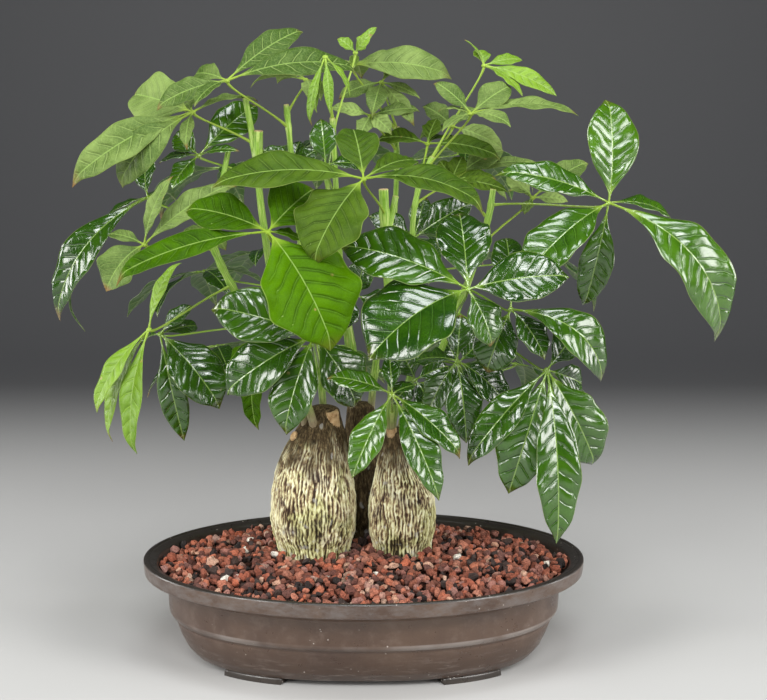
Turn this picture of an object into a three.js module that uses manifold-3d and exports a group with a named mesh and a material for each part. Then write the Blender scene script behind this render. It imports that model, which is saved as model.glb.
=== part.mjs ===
// A potted money tree: three swollen trunks in an oval training pot, green shoots and compound leaves.
// Millimetres, +Z up. The view from the front looks along +Y. Places are worked out from the pot's
// middle, at the underside of its feet, and the whole plant is then centred on its own outline.
import * as THREE from 'three';
import { mergeVertices } from 'three/addons/utils/BufferGeometryUtils.js';
import Module from 'manifold-3d';

const wasm = await Module();
wasm.setup();

// ---------------------------------------------------------------- driving dimensions

const GAP = 0.35; // between two pieces that meet
const TIDY = 0.1; // joins of solids closer than this are merged
const SEED = 20417;

const RIM_HALF_LENGTH = 200;
const RIM_HALF_DEPTH = 149;
const POT_SIDES = 36;
const FOOT_HEIGHT = 4;
const FOOT_SINK = 1.6; // how far a foot's pad runs up into the floor
const FOOT_WIDTH = 13;
const FOOT_INSET = 45; // from the rim's outline to the foot's outer edge
const FOOT_ANGLES = [55, 125, 235, 305]; // degrees round the pot
const FOOT_SPAN = 25; // degrees
const BASE_SQUARE = 2.4;
const DRAIN_RADIUS = 7;
const DRAIN_PLACES = [[-75, 0], [75, 0]];
const DRILL_LENGTH = 20; // longer than any floor that it goes through

const BED_EDGE_HEIGHT = 80.5;
const BED_MOUND = 5;
const STONE_SIZE = 13;
const STONE_RELIEF = 3;
const STONE_SCATTER = 0.5; // how far a stone may stand off the grid, as a share of the stone
const ABOVE_BED = 105; // a height above every stone, where the bed's cutters end

const PETIOLE_RADIUS = 1.1;
const PETIOLE_SIDES = 4;
const PETIOLE_STEPS = 4;
const PETIOLE_TAPER = 0.85; // its end's radius, as a share of its start's
const PETIOLE_RISE = 0.04; // how far it bows up, as a share of its span
const PETIOLE_DROP = 0.1; // how far under the hub it turns up into it, as a share of its span
const HUB_RADIUS = 4;
const BLADE_THICKNESS = 1.5;
const BLADE_FOLD = 0.14; // how far the edges stand above the midrib, as a share of the half width
const BLADE_ARCH = 0.1; // how far a leaflet bows up between its ends, as a share of its length
const FRONT = [0, -1, 0];

// ---------------------------------------------------------------- small helpers

const vec = (x, y, z) => new THREE.Vector3(x, y, z);
const turn = (degrees) => (degrees * Math.PI) / 180;

// Numbers from 0 to 1 that come out the same each time.
function makeDraw(seed) {
  let state = seed;
  return () => {
    state = (state * 1664525 + 1013904223) % 4294967296;
    return state / 4294967296;
  };
}

// The skin over a row of rings with as many points each. A first or last ring of one point is a tip,
// and any other is closed by a fan.
function loft(rings) {
  const positions = rings.flat().flatMap((p) => [p.x, p.y, p.z]);
  const starts = [];
  let count = 0;
  for (const ring of rings) {
    starts.push(count);
    count += ring.length;
  }
  const index = [];
  for (let k = 0; k + 1 < rings.length; k++) {
    const [a, b] = [starts[k], starts[k + 1]];
    const [na, nb] = [rings[k].length, rings[k + 1].length];
    const n = Math.max(na, nb);
    for (let i = 0; i < n; i++) {
      const j = (i + 1) % n;
      if (nb > 1) index.push(a + (i % na), b + j, b + i);
      if (na > 1) index.push(a + i, a + j, b + (j % nb));
    }
  }
  const fan = (start, n, flip) => {
    for (let i = 1; i + 1 < n; i++) {
      index.push(start, start + (flip ? i + 1 : i), start + (flip ? i : i + 1));
    }
  };
  fan(starts[0], rings[0].length, true);
  fan(starts.at(-1), rings.at(-1).length, false);
  const geometry = new THREE.BufferGeometry();
  geometry.setAttribute('position', new THREE.Float32BufferAttribute(positions, 3));
  geometry.setIndex(index);
  return geometry;
}

function signedVolume(position, index) {
  const [a, b, c] = [vec(0, 0, 0), vec(0, 0, 0), vec(0, 0, 0)];
  let sum = 0;
  for (let i = 0; i < index.length; i += 3) {
    a.fromBufferAttribute(position, index[i]);
    b.fromBufferAttribute(position, index[i + 1]);
    c.fromBufferAttribute(position, index[i + 2]);
    sum += a.dot(b.cross(c)) / 6;
  }
  return sum;
}

// A closed geometry as a solid that can be joined and cut, with its faces turned outwards.
function solid(geometry) {
  const bare = geometry.clone();
  bare.deleteAttribute('normal');
  bare.deleteAttribute('uv');
  const merged = mergeVertices(bare, 1e-4);
  const triVerts = new Uint32Array(merged.index.array);
  if (signedVolume(merged.attributes.position, triVerts) < 0) triVerts.reverse();
  const vertProperties = new Float32Array(merged.attributes.position.array);
  return new wasm.Manifold(new wasm.Mesh({ numProp: 3, vertProperties, triVerts }));
}

const fuse = (solids) => solids.reduce((whole, piece) => whole.add(piece));

// The largest body of a solid. What a cut leaves loose is dropped.
function largest(body) {
  const bodies = body.decompose();
  return bodies.reduce((best, piece) => (piece.volume() > best.volume() ? piece : best));
}

function geometryOf(body) {
  const { numProp, vertProperties, triVerts } = body.getMesh();
  const positions = [];
  for (let i = 0; i < vertProperties.length; i += numProp) {
    positions.push(vertProperties[i], vertProperties[i + 1], vertProperties[i + 2]);
  }
  const geometry = new THREE.BufferGeometry();
  geometry.setAttribute('position', new THREE.Float32BufferAttribute(positions, 3));
  geometry.setIndex(Array.from(triVerts));
  geometry.computeVertexNormals();
  return geometry;
}

// A tapered round bar along a curve, with flat ends.
function bar(curve, startRadius, endRadius, sides, steps) {
  const frames = curve.computeFrenetFrames(steps);
  const rings = [];
  for (let k = 0; k <= steps; k++) {
    const centre = curve.getPointAt(k / steps);
    const radius = startRadius + (endRadius - startRadius) * (k / steps);
    const ring = [];
    for (let i = 0; i < sides; i++) {
      const angle = (i / sides) * 2 * Math.PI;
      ring.push(centre.clone()
        .addScaledVector(frames.normals[k], radius * Math.cos(angle))
        .addScaledVector(frames.binormals[k], radius * Math.sin(angle)));
    }
    rings.push(ring);
  }
  return solid(loft(rings));
}

const smoothPath = (points) =>
  new THREE.CatmullRomCurve3(points.map((p) => vec(...p)), false, 'catmullrom', 0.5);

// ---------------------------------------------------------------- pot

// The pot's section from the middle of its underside, out, over the rim and in to the middle of its
// floor: [height, inset from the rim's outline, how square the oval is].
const POT_UNDERSIDE = [FOOT_HEIGHT, 50, BASE_SQUARE];
const POT_OUTSIDE = [
  POT_UNDERSIDE,
  [6, 45, 2.4], [14, 38, 2.35], [34, 29.5, 2.25], [37, 27.5, 2.2], [41, 23.5, 2.15],
  [66, 21.6, 2.07], [76.5, 9.5, 2], [82, 9, 2],
];
const POT_RIM = [
  [82.5, 5, 2], [75, 4.4, 2], [74.5, 1.2, 2], [86.8, 0, 2], [88, 1.6, 2],
  [88, 3.6, 2], [86.6, 4.6, 2], [87, 6, 2], [84.5, 12.5, 2],
];
const POT_INSIDE = [
  [78.5, 14.2, 2], [70, 25.6, 2.05], [38, 31, 2.2], [13, 42, 2.35], [7.4, 50, 2.4],
];

// A point of the oval. A square of 2 is a plain ellipse, and a larger one has fuller corners.
function ovalPoint(inset, square, angle) {
  const [c, s] = [Math.cos(angle), Math.sin(angle)];
  return [
    (RIM_HALF_LENGTH - inset) * Math.sign(c) * Math.abs(c) ** (2 / square),
    (RIM_HALF_DEPTH - inset) * Math.sign(s) * Math.abs(s) ** (2 / square),
  ];
}

function ovalRing([height, inset, square]) {
  const ring = [];
  for (let i = 0; i < POT_SIDES; i++) {
    ring.push(vec(...ovalPoint(inset, square, (i / POT_SIDES) * 2 * Math.PI), height));
  }
  return ring;
}

// A curved pad that follows the oval under one corner of the pot.
function foot(middleAngle) {
  const shape = new THREE.Shape();
  const steps = 3;
  const edge = (inset, k) =>
    ovalPoint(inset, BASE_SQUARE, turn(middleAngle - FOOT_SPAN / 2 + (FOOT_SPAN * k) / steps));
  shape.moveTo(...edge(FOOT_INSET, 0));
  for (let k = 1; k <= steps; k++) shape.lineTo(...edge(FOOT_INSET, k));
  for (let k = steps; k >= 0; k--) shape.lineTo(...edge(FOOT_INSET + FOOT_WIDTH, k));
  return solid(new THREE.ExtrudeGeometry(shape, { depth: FOOT_HEIGHT + FOOT_SINK, bevelEnabled: false }));
}

function makePot() {
  const rings = [...POT_OUTSIDE, ...POT_RIM, ...POT_INSIDE].map((row) => ovalRing(row));
  const shell = solid(loft([[vec(0, 0, FOOT_HEIGHT)], ...rings, [vec(0, 0, POT_INSIDE.at(-1)[0])]]));
  let pot = fuse([shell, ...FOOT_ANGLES.map(foot)]);
  for (const [x, y] of DRAIN_PLACES) {
    const drill = new THREE.CylinderGeometry(DRAIN_RADIUS, DRAIN_RADIUS, DRILL_LENGTH, 10);
    drill.rotateX(Math.PI / 2);
    drill.translate(x, y, FOOT_HEIGHT);
    pot = pot.subtract(solid(drill));
  }
  return pot;
}

// ---------------------------------------------------------------- trunks

// Each trunk's heights, radii and bend: [height, radius, shift along X, shift along Y]. The first two
// rings are its plain foot, which stands in the bed.
const TRUNKS = {
  trunk_left: {
    middle: [-47, 30],
    sides: 26,
    profile: [
      [44, 33, 0, 0], [88, 34, 0, 0], [101, 37.6, 0, 0], [117, 39.6, 0, 0], [134, 39, 0, 0],
      [151, 36.4, 0, 0], [167, 32.6, 1, 0], [181, 28.5, 3, 0], [194, 23.5, 6, 0], [205, 18.5, 8, 0],
      [214, 15, 9, 0],
    ],
    stubs: [[-52, 27, 184, -13, -7, 9, 5], [-27, 24, 184, -3, -4, 32, 7]],
  },
  trunk_right: {
    middle: [35, 30],
    sides: 24,
    profile: [
      [46, 26.5, 0, 0], [88, 27.4, 0, 0], [102, 30.2, 0, 0], [119, 31, 0, 0], [134, 29, 0, 0],
      [148, 25.6, -1, 0], [161, 21, -3, 0], [173, 17, -4, 0], [183, 15, -4, 0], [193, 13.5, -4, 0],
    ],
    stubs: [[28, 26, 180, -3, -6, 20, 5]],
  },
  trunk_back: {
    middle: [-4, 94],
    sides: 16,
    profile: [
      [58, 24.5, 0, -2], [88, 26, 0, 0], [108, 30, 0, 0], [128, 29.5, 0, 0], [146, 26, 0, 0],
      [163, 21.5, 0, 0], [184, 16, 0, 0], [206, 13, 0, 0],
    ],
    stubs: [],
  },
};
const RIDGE_DEPTH = 0.05; // of the radius
const RIDGE_WANDER = 0.1; // of the angle between two ridges
const STUB_SIDES = 7;
const STUB_TAPER = 0.92;
const HOLE_SIDES = 16;

function trunkRings({ middle, sides, profile }) {
  return profile.map(([z, radius, shiftX, shiftY], level) => {
    const ridged = level > 1 ? RIDGE_DEPTH : 0;
    const ring = [];
    for (let i = 0; i < sides; i++) {
      const wander = ridged > 0 ? RIDGE_WANDER * Math.sin(level * 1.3 + i * 2.1) : 0;
      const angle = ((i + wander) / sides) * 2 * Math.PI;
      const ridge = i % 2 ? -ridged : ridged * (0.6 + 0.4 * Math.sin(level * 0.9 + i * 1.7));
      const r = radius * (1 + ridge);
      ring.push(vec(middle[0] + shiftX + r * Math.cos(angle), middle[1] + shiftY + r * Math.sin(angle), z));
    }
    return ring;
  });
}

// A cut-back side shoot, or the stub of one: a short bar from a point, with a flat end.
function cutStub(from, dx, dy, dz, radius) {
  const base = vec(...from);
  const curve = new THREE.LineCurve3(base, base.clone().add(vec(dx, dy, dz)));
  return bar(curve, radius, radius * STUB_TAPER, STUB_SIDES, 1);
}

function makeTrunk(trunk) {
  const body = solid(loft(trunkRings(trunk)));
  const stubs = trunk.stubs.map(([x, y, z, ...rest]) => cutStub([x, y, z], ...rest));
  return fuse([body, ...stubs]);
}

// The plain round hole that a trunk's foot stands in.
function trunkHole({ middle, profile }) {
  const bottom = profile[0][0] - GAP;
  const radius = (profile[1][1] + GAP) / Math.cos(Math.PI / HOLE_SIDES);
  const height = ABOVE_BED - bottom;
  const drill = new THREE.CylinderGeometry(radius, radius, height, HOLE_SIDES);
  drill.rotateX(Math.PI / 2);
  drill.translate(middle[0], middle[1], bottom + height / 2);
  return solid(drill);
}

// ---------------------------------------------------------------- bed of broken stone

const BED_WALL = [
  [8, 52, 2.4], [13.4, 42.7, 2.35], [38.2, 31.7, 2.2], [70, 26.3, 2.05], [78.5, 14.9, 2],
];

function bedHeight(x, y) {
  const edge = BED_WALL.at(-1)[1];
  const share = (x / (RIM_HALF_LENGTH - edge)) ** 2 + (y / (RIM_HALF_DEPTH - edge)) ** 2;
  return BED_EDGE_HEIGHT + BED_MOUND * (1 - Math.min(share, 1));
}

// A block whose top is a rough field of stones, each grid point at its own height.
function stoneField() {
  const draw = makeDraw(SEED);
  const columns = Math.ceil((RIM_HALF_LENGTH * 2) / STONE_SIZE);
  const rows = Math.ceil((RIM_HALF_DEPTH * 2) / STONE_SIZE);
  const rings = [];
  for (let r = 0; r <= rows; r++) {
    const line = [];
    const y0 = (r - rows / 2) * STONE_SIZE;
    for (let c = 0; c <= columns; c++) {
      const x0 = (c - columns / 2) * STONE_SIZE;
      const x = x0 + (c > 0 && c < columns ? (draw() - 0.5) * STONE_SCATTER * STONE_SIZE : 0);
      const y = y0 + (r > 0 && r < rows ? (draw() - 0.5) * STONE_SCATTER * STONE_SIZE : 0);
      line.push(vec(x, y, bedHeight(x0, y0) + (draw() * 2 - 1) * STONE_RELIEF));
    }
    const [first, last] = [line[0], line.at(-1)];
    rings.push([...line, vec(last.x, last.y, 0), vec(first.x, first.y, 0)]);
  }
  return solid(loft(rings));
}

function makeBed(trunks) {
  const top = BED_WALL.at(-1);
  const rings = [...BED_WALL, [ABOVE_BED, top[1], top[2]]].map((row) => ovalRing(row));
  const fill = solid(loft([[vec(0, 0, BED_WALL[0][0])], ...rings, [vec(0, 0, ABOVE_BED)]]));
  let bed = fill.intersect(stoneField());
  for (const trunk of trunks) bed = bed.subtract(trunkHole(trunk));
  return largest(bed).simplify(TIDY);
}

// ---------------------------------------------------------------- green shoots

// Each shoot's radii at its root and top, the points that it passes, and its cut side shoots:
// [height on the shoot, reach along X, Y and Z, radius].
const SHOOTS = {
  shoot_left_a: {
    radii: [4.4, 2.6],
    path: [[-51, 24, 192], [-62, 18, 250], [-79, 12, 320], [-89, 6, 390], [-95, 0, 450], [-102, -6, 497]],
    stubs: [[432, 2, -6, 36, 4.4]],
  },
  shoot_left_b: {
    radii: [3.8, 3],
    path: [[-43, 17, 194], [-56, 6, 236], [-88, -4, 286], [-112, -12, 327], [-128, -16, 361],
      [-138, -18, 392]],
    stubs: [[374, 15, 12, 78, 2.6]],
  },
  shoot_left_c: {
    radii: [3.6, 2.4],
    path: [[-36, 34, 194], [-42, 38, 260], [-54, 32, 340], [-62, 24, 420], [-68, 14, 492]],
    stubs: [],
  },
  shoot_back_a: {
    radii: [3.6, 2.2],
    path: [[-10, 90, 190], [-14, 80, 250], [-21, 58, 330], [-24, 32, 400], [-27, 8, 480]],
    stubs: [],
  },
  shoot_back_b: {
    radii: [3.6, 2.2],
    path: [[4, 93, 190], [12, 94, 260], [24, 90, 340], [30, 82, 420], [30, 74, 474]],
    stubs: [[300, 12, 8, 60, 2.6]],
  },
  shoot_back_c: {
    radii: [3.4, 2.2],
    path: [[-5, 102, 188], [-12, 118, 260], [-26, 128, 340], [-38, 130, 430]],
    stubs: [],
  },
  shoot_right_a: {
    radii: [4.6, 4.2],
    path: [[25, 25, 180], [26, 16, 240], [24, 4, 310], [20, -4, 370], [18, -8, 418]],
    stubs: [[372, 9, 3, 40, 3]],
  },
  shoot_right_b: {
    radii: [3.4, 2.2],
    path: [[30, 37, 180], [42, 36, 240], [46, 30, 320], [44, 24, 380], [50, 24, 420], [62, 26, 446]],
    stubs: [],
  },
  shoot_right_c: {
    radii: [3.6, 2.6],
    path: [[37, 25, 178], [54, 17, 230], [76, 6, 290], [98, -4, 350], [110, -8, 393], [114, -8, 418]],
    stubs: [],
  },
};
const SHOOT_SIDES = 7;
const SHOOT_STEPS = 5;

const shootCurves = {};
for (const [name, shoot] of Object.entries(SHOOTS)) shootCurves[name] = smoothPath(shoot.path);

// The point of a shoot's middle line at a height.
function shootPoint(name, height) {
  const samples = 240;
  let best = shootCurves[name].getPoint(0);
  for (let k = 1; k <= samples; k++) {
    const point = shootCurves[name].getPoint(k / samples);
    if (Math.abs(point.z - height) < Math.abs(best.z - height)) best = point;
  }
  return best;
}

function makeShoot(name, grow) {
  const { radii, stubs } = SHOOTS[name];
  const stem = bar(shootCurves[name], radii[0] + grow, radii[1] + grow, SHOOT_SIDES, SHOOT_STEPS);
  const sides = stubs.map(([z, dx, dy, dz, radius]) =>
    cutStub(shootPoint(name, z).toArray(), dx, dy, dz, radius + grow));
  return fuse([stem, ...sides]);
}

// ---------------------------------------------------------------- leaves read from the front

// Each leaf: the shoot that carries it and at what height, its hub, the way that its upper side faces,
// its tone, and its leaflets: reach along X, Y and Z from the hub, width and, if they aren't the common
// ones, arch and how far the blade is turned about its length to show its upper side to the front.
const LEAVES = {
  leaf_a: {
    shoot: 'shoot_left_a', height: 458, hub: [-146, -20, 484], faces: [-0.2, -0.35, 0.9], tone: 'light',
    leaflets: [[-103, -22, -60, 35, 0.12, 0.6], [-58, 30, 17, 46, 0.1, 0.7], [-66, 6, -64, 34, 0.3, 0.8],
      [54, 24, 12, 22], [-3, -26, -30, 13], [-16, 62, 6, 24]],
  },
  leaf_b: {
    shoot: 'shoot_left_c', height: 472, hub: [-115, -30, 510], faces: [0, -0.3, 0.95], tone: 'light',
    leaflets: [[112, 28, 12, 32, 0.13, 0.5], [63, 34, 46, 26, 0.1, 0.6], [-33, 38, 7, 22, 0.1, 0.5],
      [-59, -12, -23, 24, 0.1, 0.5], [-24, -32, -22, 16]],
  },
  leaf_c: {
    shoot: 'shoot_left_c', height: 484, hub: [-53, 60, 516], faces: [0, 0.1, 1], tone: 'light',
    leaflets: [[-51, 0, -3, 24], [-30, 52, 2, 24], [12, 42, -14, 18], [8, -38, -22, 16]],
  },
  leaf_new_a: {
    shoot: 'shoot_back_a', height: 478, hub: [-31, -40, 529], faces: [0, -0.4, 0.9], tone: 'new',
    leaflets: [[-14, -2, -56, 9], [-9, 8, -46, 9], [4, -8, -47, 9], [21, 6, -32, 10]],
  },
  leaf_new_b: {
    shoot: 'shoot_back_a', height: 468, hub: [-7, 30, 538], faces: [0, -0.2, 1], tone: 'new',
    leaflets: [[-16, 2, 13, 12, 0.1, 0.6], [19, 10, 24, 9, 0.1, 0.6], [14, -12, 15, 13, 0.1, 0.7],
      [-2, 18, -12, 9]],
  },
  leaf_u: {
    shoot: 'shoot_back_b', height: 470, hub: [-11, 52, 528], faces: [0, 0, 1], tone: 'light',
    leaflets: [[91, -4, -9, 36, 0.12, 0.6], [62, 50, 2, 28, 0.1, 0.3], [8, 72, -4, 26]],
  },
  leaf_v: {
    shoot: 'shoot_left_a', height: 428, hub: [-143, -10, 447], faces: [-0.1, -0.5, 0.85], tone: 'mid',
    leaflets: [[-23, 15, 20, 22, 0.1, 0.7], [-37, 10, -6, 16], [-21, -20, -28, 20, 0.1, 0.3],
      [48, 42, 46, 34, 0.1, 0.7], [36, -6, 4, 13]],
  },
  leaf_w: {
    shoot: 'shoot_back_a', height: 402, hub: [-32, -22, 439], faces: [0, -0.6, 0.8], tone: 'dark',
    leaflets: [[-4, 4, 40, 24], [-42, 20, -4, 20], [34, 12, -2, 20]],
  },
  leaf_d: {
    shoot: 'shoot_right_a', height: 396, hub: [2, -100, 428], faces: [0, -0.5, 0.87], tone: 'mid',
    leaflets: [[-122, -8, -4, 40, 0.1, 0.2], [-10, 48, 42, 36], [-40, -32, -64, 62], [98, -12, -22, 36, 0.13],
      [46, 54, 14, 24, 0.1, 0.2]],
  },
  leaf_e: {
    shoot: 'shoot_left_c', height: 330, hub: [-75, -110, 386], faces: [0, -0.55, 0.83], tone: 'vivid',
    leaflets: [[-69, 18, 18, 38, 0.1, 0.3], [-126, -4, -38, 27, 0.1, 0.3], [36, 30, 34, 48, 0.1, 0.5],
      [53, -30, -90, 80, 0.12], [31, 20, -12, 18]],
  },
  leaf_m: {
    shoot: 'shoot_left_b', height: 386, hub: [-193, 20, 410], faces: [-0.5, -0.35, 0.8], tone: 'dark',
    leaflets: [[-3, 28, 36, 24], [-48, 24, -26, 16], [-82, -16, -108, 34, 0.24, 0.6],
      [-74, 16, -118, 17, 0.2], [14, 60, 0, 24]],
  },
  leaf_n: {
    shoot: 'shoot_left_b', height: 366, hub: [-185, -50, 372], faces: [-0.2, -0.6, 0.77], tone: 'light',
    leaflets: [[-30, -18, -38, 38, 0.2, 0.4], [25, -6, 58, 16, 0.1, 0.3], [76, 8, 52, 26, 0.1, 0.4],
      [-34, 14, 8, 14]],
  },
  leaf_k: {
    shoot: 'shoot_left_b', height: 334, hub: [-179, -72, 302], faces: [-0.3, -0.55, 0.78], tone: 'new',
    leaflets: [[24, 8, 57, 14], [-45, -12, -68, 22], [-40, 12, -98, 20], [-13, -20, -102, 23]],
  },
  leaf_l: {
    shoot: 'shoot_left_b', height: 296, hub: [-182, 2, 289], faces: [-0.1, -0.55, 0.8], tone: 'dark',
    leaflets: [[55, -15, -64, 48], [27, 15, 25, 16, 0.1, 0.5], [30, 36, 3, 16, 0.1, 0.5], [-22, 30, -15, 13],
      [18, 12, -100, 26]],
  },
  leaf_x: {
    shoot: 'shoot_left_c', height: 252, hub: [-41, -60, 295], faces: [0, -0.6, 0.8], tone: 'dark',
    leaflets: [[-87, 0, 25, 48, 0.1, 0.5], [-77, 0, -49, 46, 0.1, 0.4], [-25, -15, -82, 42],
      [36, 6, -62, 50]],
  },
  leaf_y: {
    shoot: 'shoot_left_b', height: 258, hub: [-92, -24, 286], faces: [-0.3, -0.5, 0.8], tone: 'vivid',
    leaflets: [[-26, 0, -26, 22], [-2, 2, -80, 24]],
  },
  leaf_f: {
    shoot: 'shoot_right_c', height: 296, hub: [86, -115, 340], faces: [0, -0.55, 0.83], tone: 'dark',
    leaflets: [[-5, 45, 60, 46], [80, -10, 12, 44, 0.1, 0.5], [-104, 25, 34, 50, 0.1, 0.3],
      [-80, -34, -52, 82, 0.12], [20, -4, -46, 34]],
  },
  leaf_g: {
    shoot: 'shoot_right_c', height: 330, hub: [124, -80, 320], faces: [0.1, -0.6, 0.8], tone: 'dark',
    leaflets: [[-20, -2, -53, 38], [27, -20, -39, 28], [78, 2, -60, 38, 0.34, 0.3], [0, 58, 58, 32]],
  },
  leaf_h: {
    shoot: 'shoot_right_c', height: 308, hub: [155, -80, 269], faces: [0.1, -0.7, 0.7], tone: 'dark',
    leaflets: [[-32, -10, -104, 44], [8, -25, -143, 38], [44, 8, -84, 46, 0.1, 0.5],
      [30, 40, 28, 28, 0.1, 0.5], [35, 32, -18, 24, 0.1, 0.6], [-68, -4, -80, 32]],
  },
  leaf_i: {
    shoot: 'shoot_right_c', height: 262, hub: [81, -55, 273], faces: [0, -0.6, 0.8], tone: 'dark',
    leaflets: [[8, -8, -70, 32], [-25, 6, -50, 28], [43, 6, -40, 36], [-38, 28, -6, 24], [4, 20, 38, 24]],
  },
  leaf_j: {
    shoot: 'shoot_right_a', height: 214, hub: [25, -95, 251], faces: [0, -0.7, 0.7], tone: 'mid',
    leaflets: [[-54, 4, 14, 22], [-33, -18, -67, 28], [39, -25, -84, 30], [58, -12, -50, 28],
      [-2, 16, 30, 16], [20, 14, 5, 11]],
  },
  leaf_p: {
    shoot: 'shoot_right_c', height: 404, hub: [210, -40, 407], faces: [0.15, -0.5, 0.85], tone: 'mid',
    leaflets: [[0, 15, 89, 46], [98, -5, -117, 50, 0.32, 0.5], [62, 34, -15, 22], [-96, -6, 27, 30, 0.1, 0.4],
      [-80, -45, -65, 44], [-17, 18, -92, 30]],
  },
  leaf_q: {
    shoot: 'shoot_right_c', height: 368, hub: [151, 14, 410], faces: [0, -0.3, 0.95], tone: 'light',
    leaflets: [[-22, 15, 20, 20, 0.1, 0.5], [52, 18, 32, 24, 0.1, 0.5], [31, -5, -3, 14, 0.1, 0.5],
      [-22, -8, 7, 12], [-8, -8, -14, 12]],
  },
  leaf_r: {
    shoot: 'shoot_right_b', height: 445, hub: [107, 20, 526], faces: [0, 0, 1], tone: 'new',
    leaflets: [[-17, 2, 23, 9], [-4, 15, 15, 16], [35, 10, 6, 13, 0.1, 0.6], [65, 0, -26, 19, 0.1, 0.6],
      [33, -16, -27, 16, 0.1, 0.3]],
  },
  leaf_s: {
    shoot: 'shoot_right_b', height: 432, hub: [94, -10, 483], faces: [0, -0.2, 1], tone: 'light',
    leaflets: [[-32, 10, 28, 18, 0.1, 0.6], [36, 15, 25, 26, 0.1, 0.6], [94, 4, 0, 26, 0.1, 0.2],
      [32, -26, -10, 18, 0.1, 0.3], [-26, -16, -15, 14], [-28, 6, 4, 12]],
  },
  leaf_t: {
    shoot: 'shoot_right_b', height: 418, hub: [58, 46, 458], faces: [0, -0.3, 0.95], tone: 'mid',
    leaflets: [[66, -8, -12, 24, 0.1, 0.4], [9, 12, 23, 18], [-46, 20, 4, 22, 0.1, 0.3], [22, 52, 4, 22]],
  },
  leaf_o: {
    shoot: 'shoot_right_b', height: 404, hub: [88, 66, 430], faces: [0.2, -0.2, 0.95], tone: 'light',
    leaflets: [[42, 10, 23, 26, 0.1, 0.5], [78, 22, 10, 14, 0.1, 0.4], [46, 2, -22, 20, 0.1, 0.3],
      [14, 62, -8, 24]],
  },
};

// ---------------------------------------------------------------- leaves of the back, placed by rule

// [degrees round the crown with 90 at the back, hub height, share of the crown's reach, shoot and the
// height on it].
const BACK_LEAVES = [
  [12, 250, 0.72, 'shoot_right_b', 236],
  [58, 262, 0.86, 'shoot_back_b', 240],
  [106, 248, 0.84, 'shoot_back_c', 238],
  [150, 262, 0.82, 'shoot_back_c', 262],
  [30, 352, 0.92, 'shoot_back_b', 330],
  [76, 368, 0.92, 'shoot_back_b', 354],
  [122, 352, 0.94, 'shoot_back_c', 330],
  [164, 338, 0.78, 'shoot_left_c', 320],
  [52, 452, 0.74, 'shoot_back_b', 440],
  [104, 462, 0.66, 'shoot_back_c', 424],
  [146, 436, 0.82, 'shoot_back_c', 410],
];
const CROWN_MIDDLE = [0, 60];
const CROWN_REACH = [205, 150];
const BACK_LEAFLETS = 5;
const BACK_SPREAD = 280; // degrees from the first leaflet to the last
const BACK_JITTER = 14; // degrees
// For the leaflets that point to the middle and straight out, and what a draw adds:
const BACK_LENGTHS = [52, 92, 10];
const BACK_DROOPS = [0.12, 0.54, 0.12];
const BACK_WIDTHS = [0.3, 0.3, 0.06]; // of the length
const BACK_ARCH = 0.12;
const BACK_TILT = 0.4; // how far the leaf's upper side turns outwards

function backLeaf([degrees, height, share, shoot, shootHeight], draw) {
  const out = vec(Math.cos(turn(degrees)), Math.sin(turn(degrees)), 0);
  const across = vec(-out.y, out.x, 0);
  const hub = [
    CROWN_MIDDLE[0] + CROWN_REACH[0] * share * out.x,
    CROWN_MIDDLE[1] + CROWN_REACH[1] * share * out.y,
    height,
  ];
  const between = ([low, high, spare], part) => low + (high - low) * part + spare * draw();
  const leaflets = [];
  for (let k = 0; k < BACK_LEAFLETS; k++) {
    const angle = turn(BACK_SPREAD * (k / (BACK_LEAFLETS - 1) - 0.5) + BACK_JITTER * (draw() - 0.5));
    const front = 0.5 + 0.5 * Math.cos(angle);
    const length = between(BACK_LENGTHS, front);
    const reach = out.clone().multiplyScalar(Math.cos(angle)).addScaledVector(across, Math.sin(angle));
    reach.setZ(-between(BACK_DROOPS, front)).setLength(length);
    leaflets.push([reach.x, reach.y, reach.z, length * between(BACK_WIDTHS, front), BACK_ARCH]);
  }
  const faces = [BACK_TILT * out.x, BACK_TILT * out.y, 1 - BACK_TILT ** 2];
  return { shoot, height: shootHeight, hub, faces, tone: 'dark', leaflets };
}

const backDraw = makeDraw(SEED + 1);
BACK_LEAVES.forEach((row, k) => {
  LEAVES[`leaf_back_${String(k + 1).padStart(2, '0')}`] = backLeaf(row, backDraw);
});

// ---------------------------------------------------------------- leaf parts

// [share of the length, share of the half width] where the blade's outline turns.
const LONG_BLADE = [[0.17, 0.2], [0.4, 0.84], [0.64, 1], [0.85, 0.58]];
const SHORT_BLADE = [[0.2, 0.22], [0.52, 1], [0.8, 0.7]];
const LONG_BLADE_WIDTH = 36; // a blade this wide or wider takes the finer outline
const BLADE_ROOT = [0.85, 0.75]; // half width and half thickness of the stalk at the hub
const HUB_START = 1.4; // where a leaflet's stalk starts, from the hub's middle

// The way that a blade's upper side faces, square to its length: as the leaf does, or partly to the front.
function upperSide(along, faces, frontShare) {
  const square = (way) => way.clone().addScaledVector(along, -way.dot(along)).normalize();
  return square(faces).lerp(square(vec(...FRONT)), frontShare).normalize();
}

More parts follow.
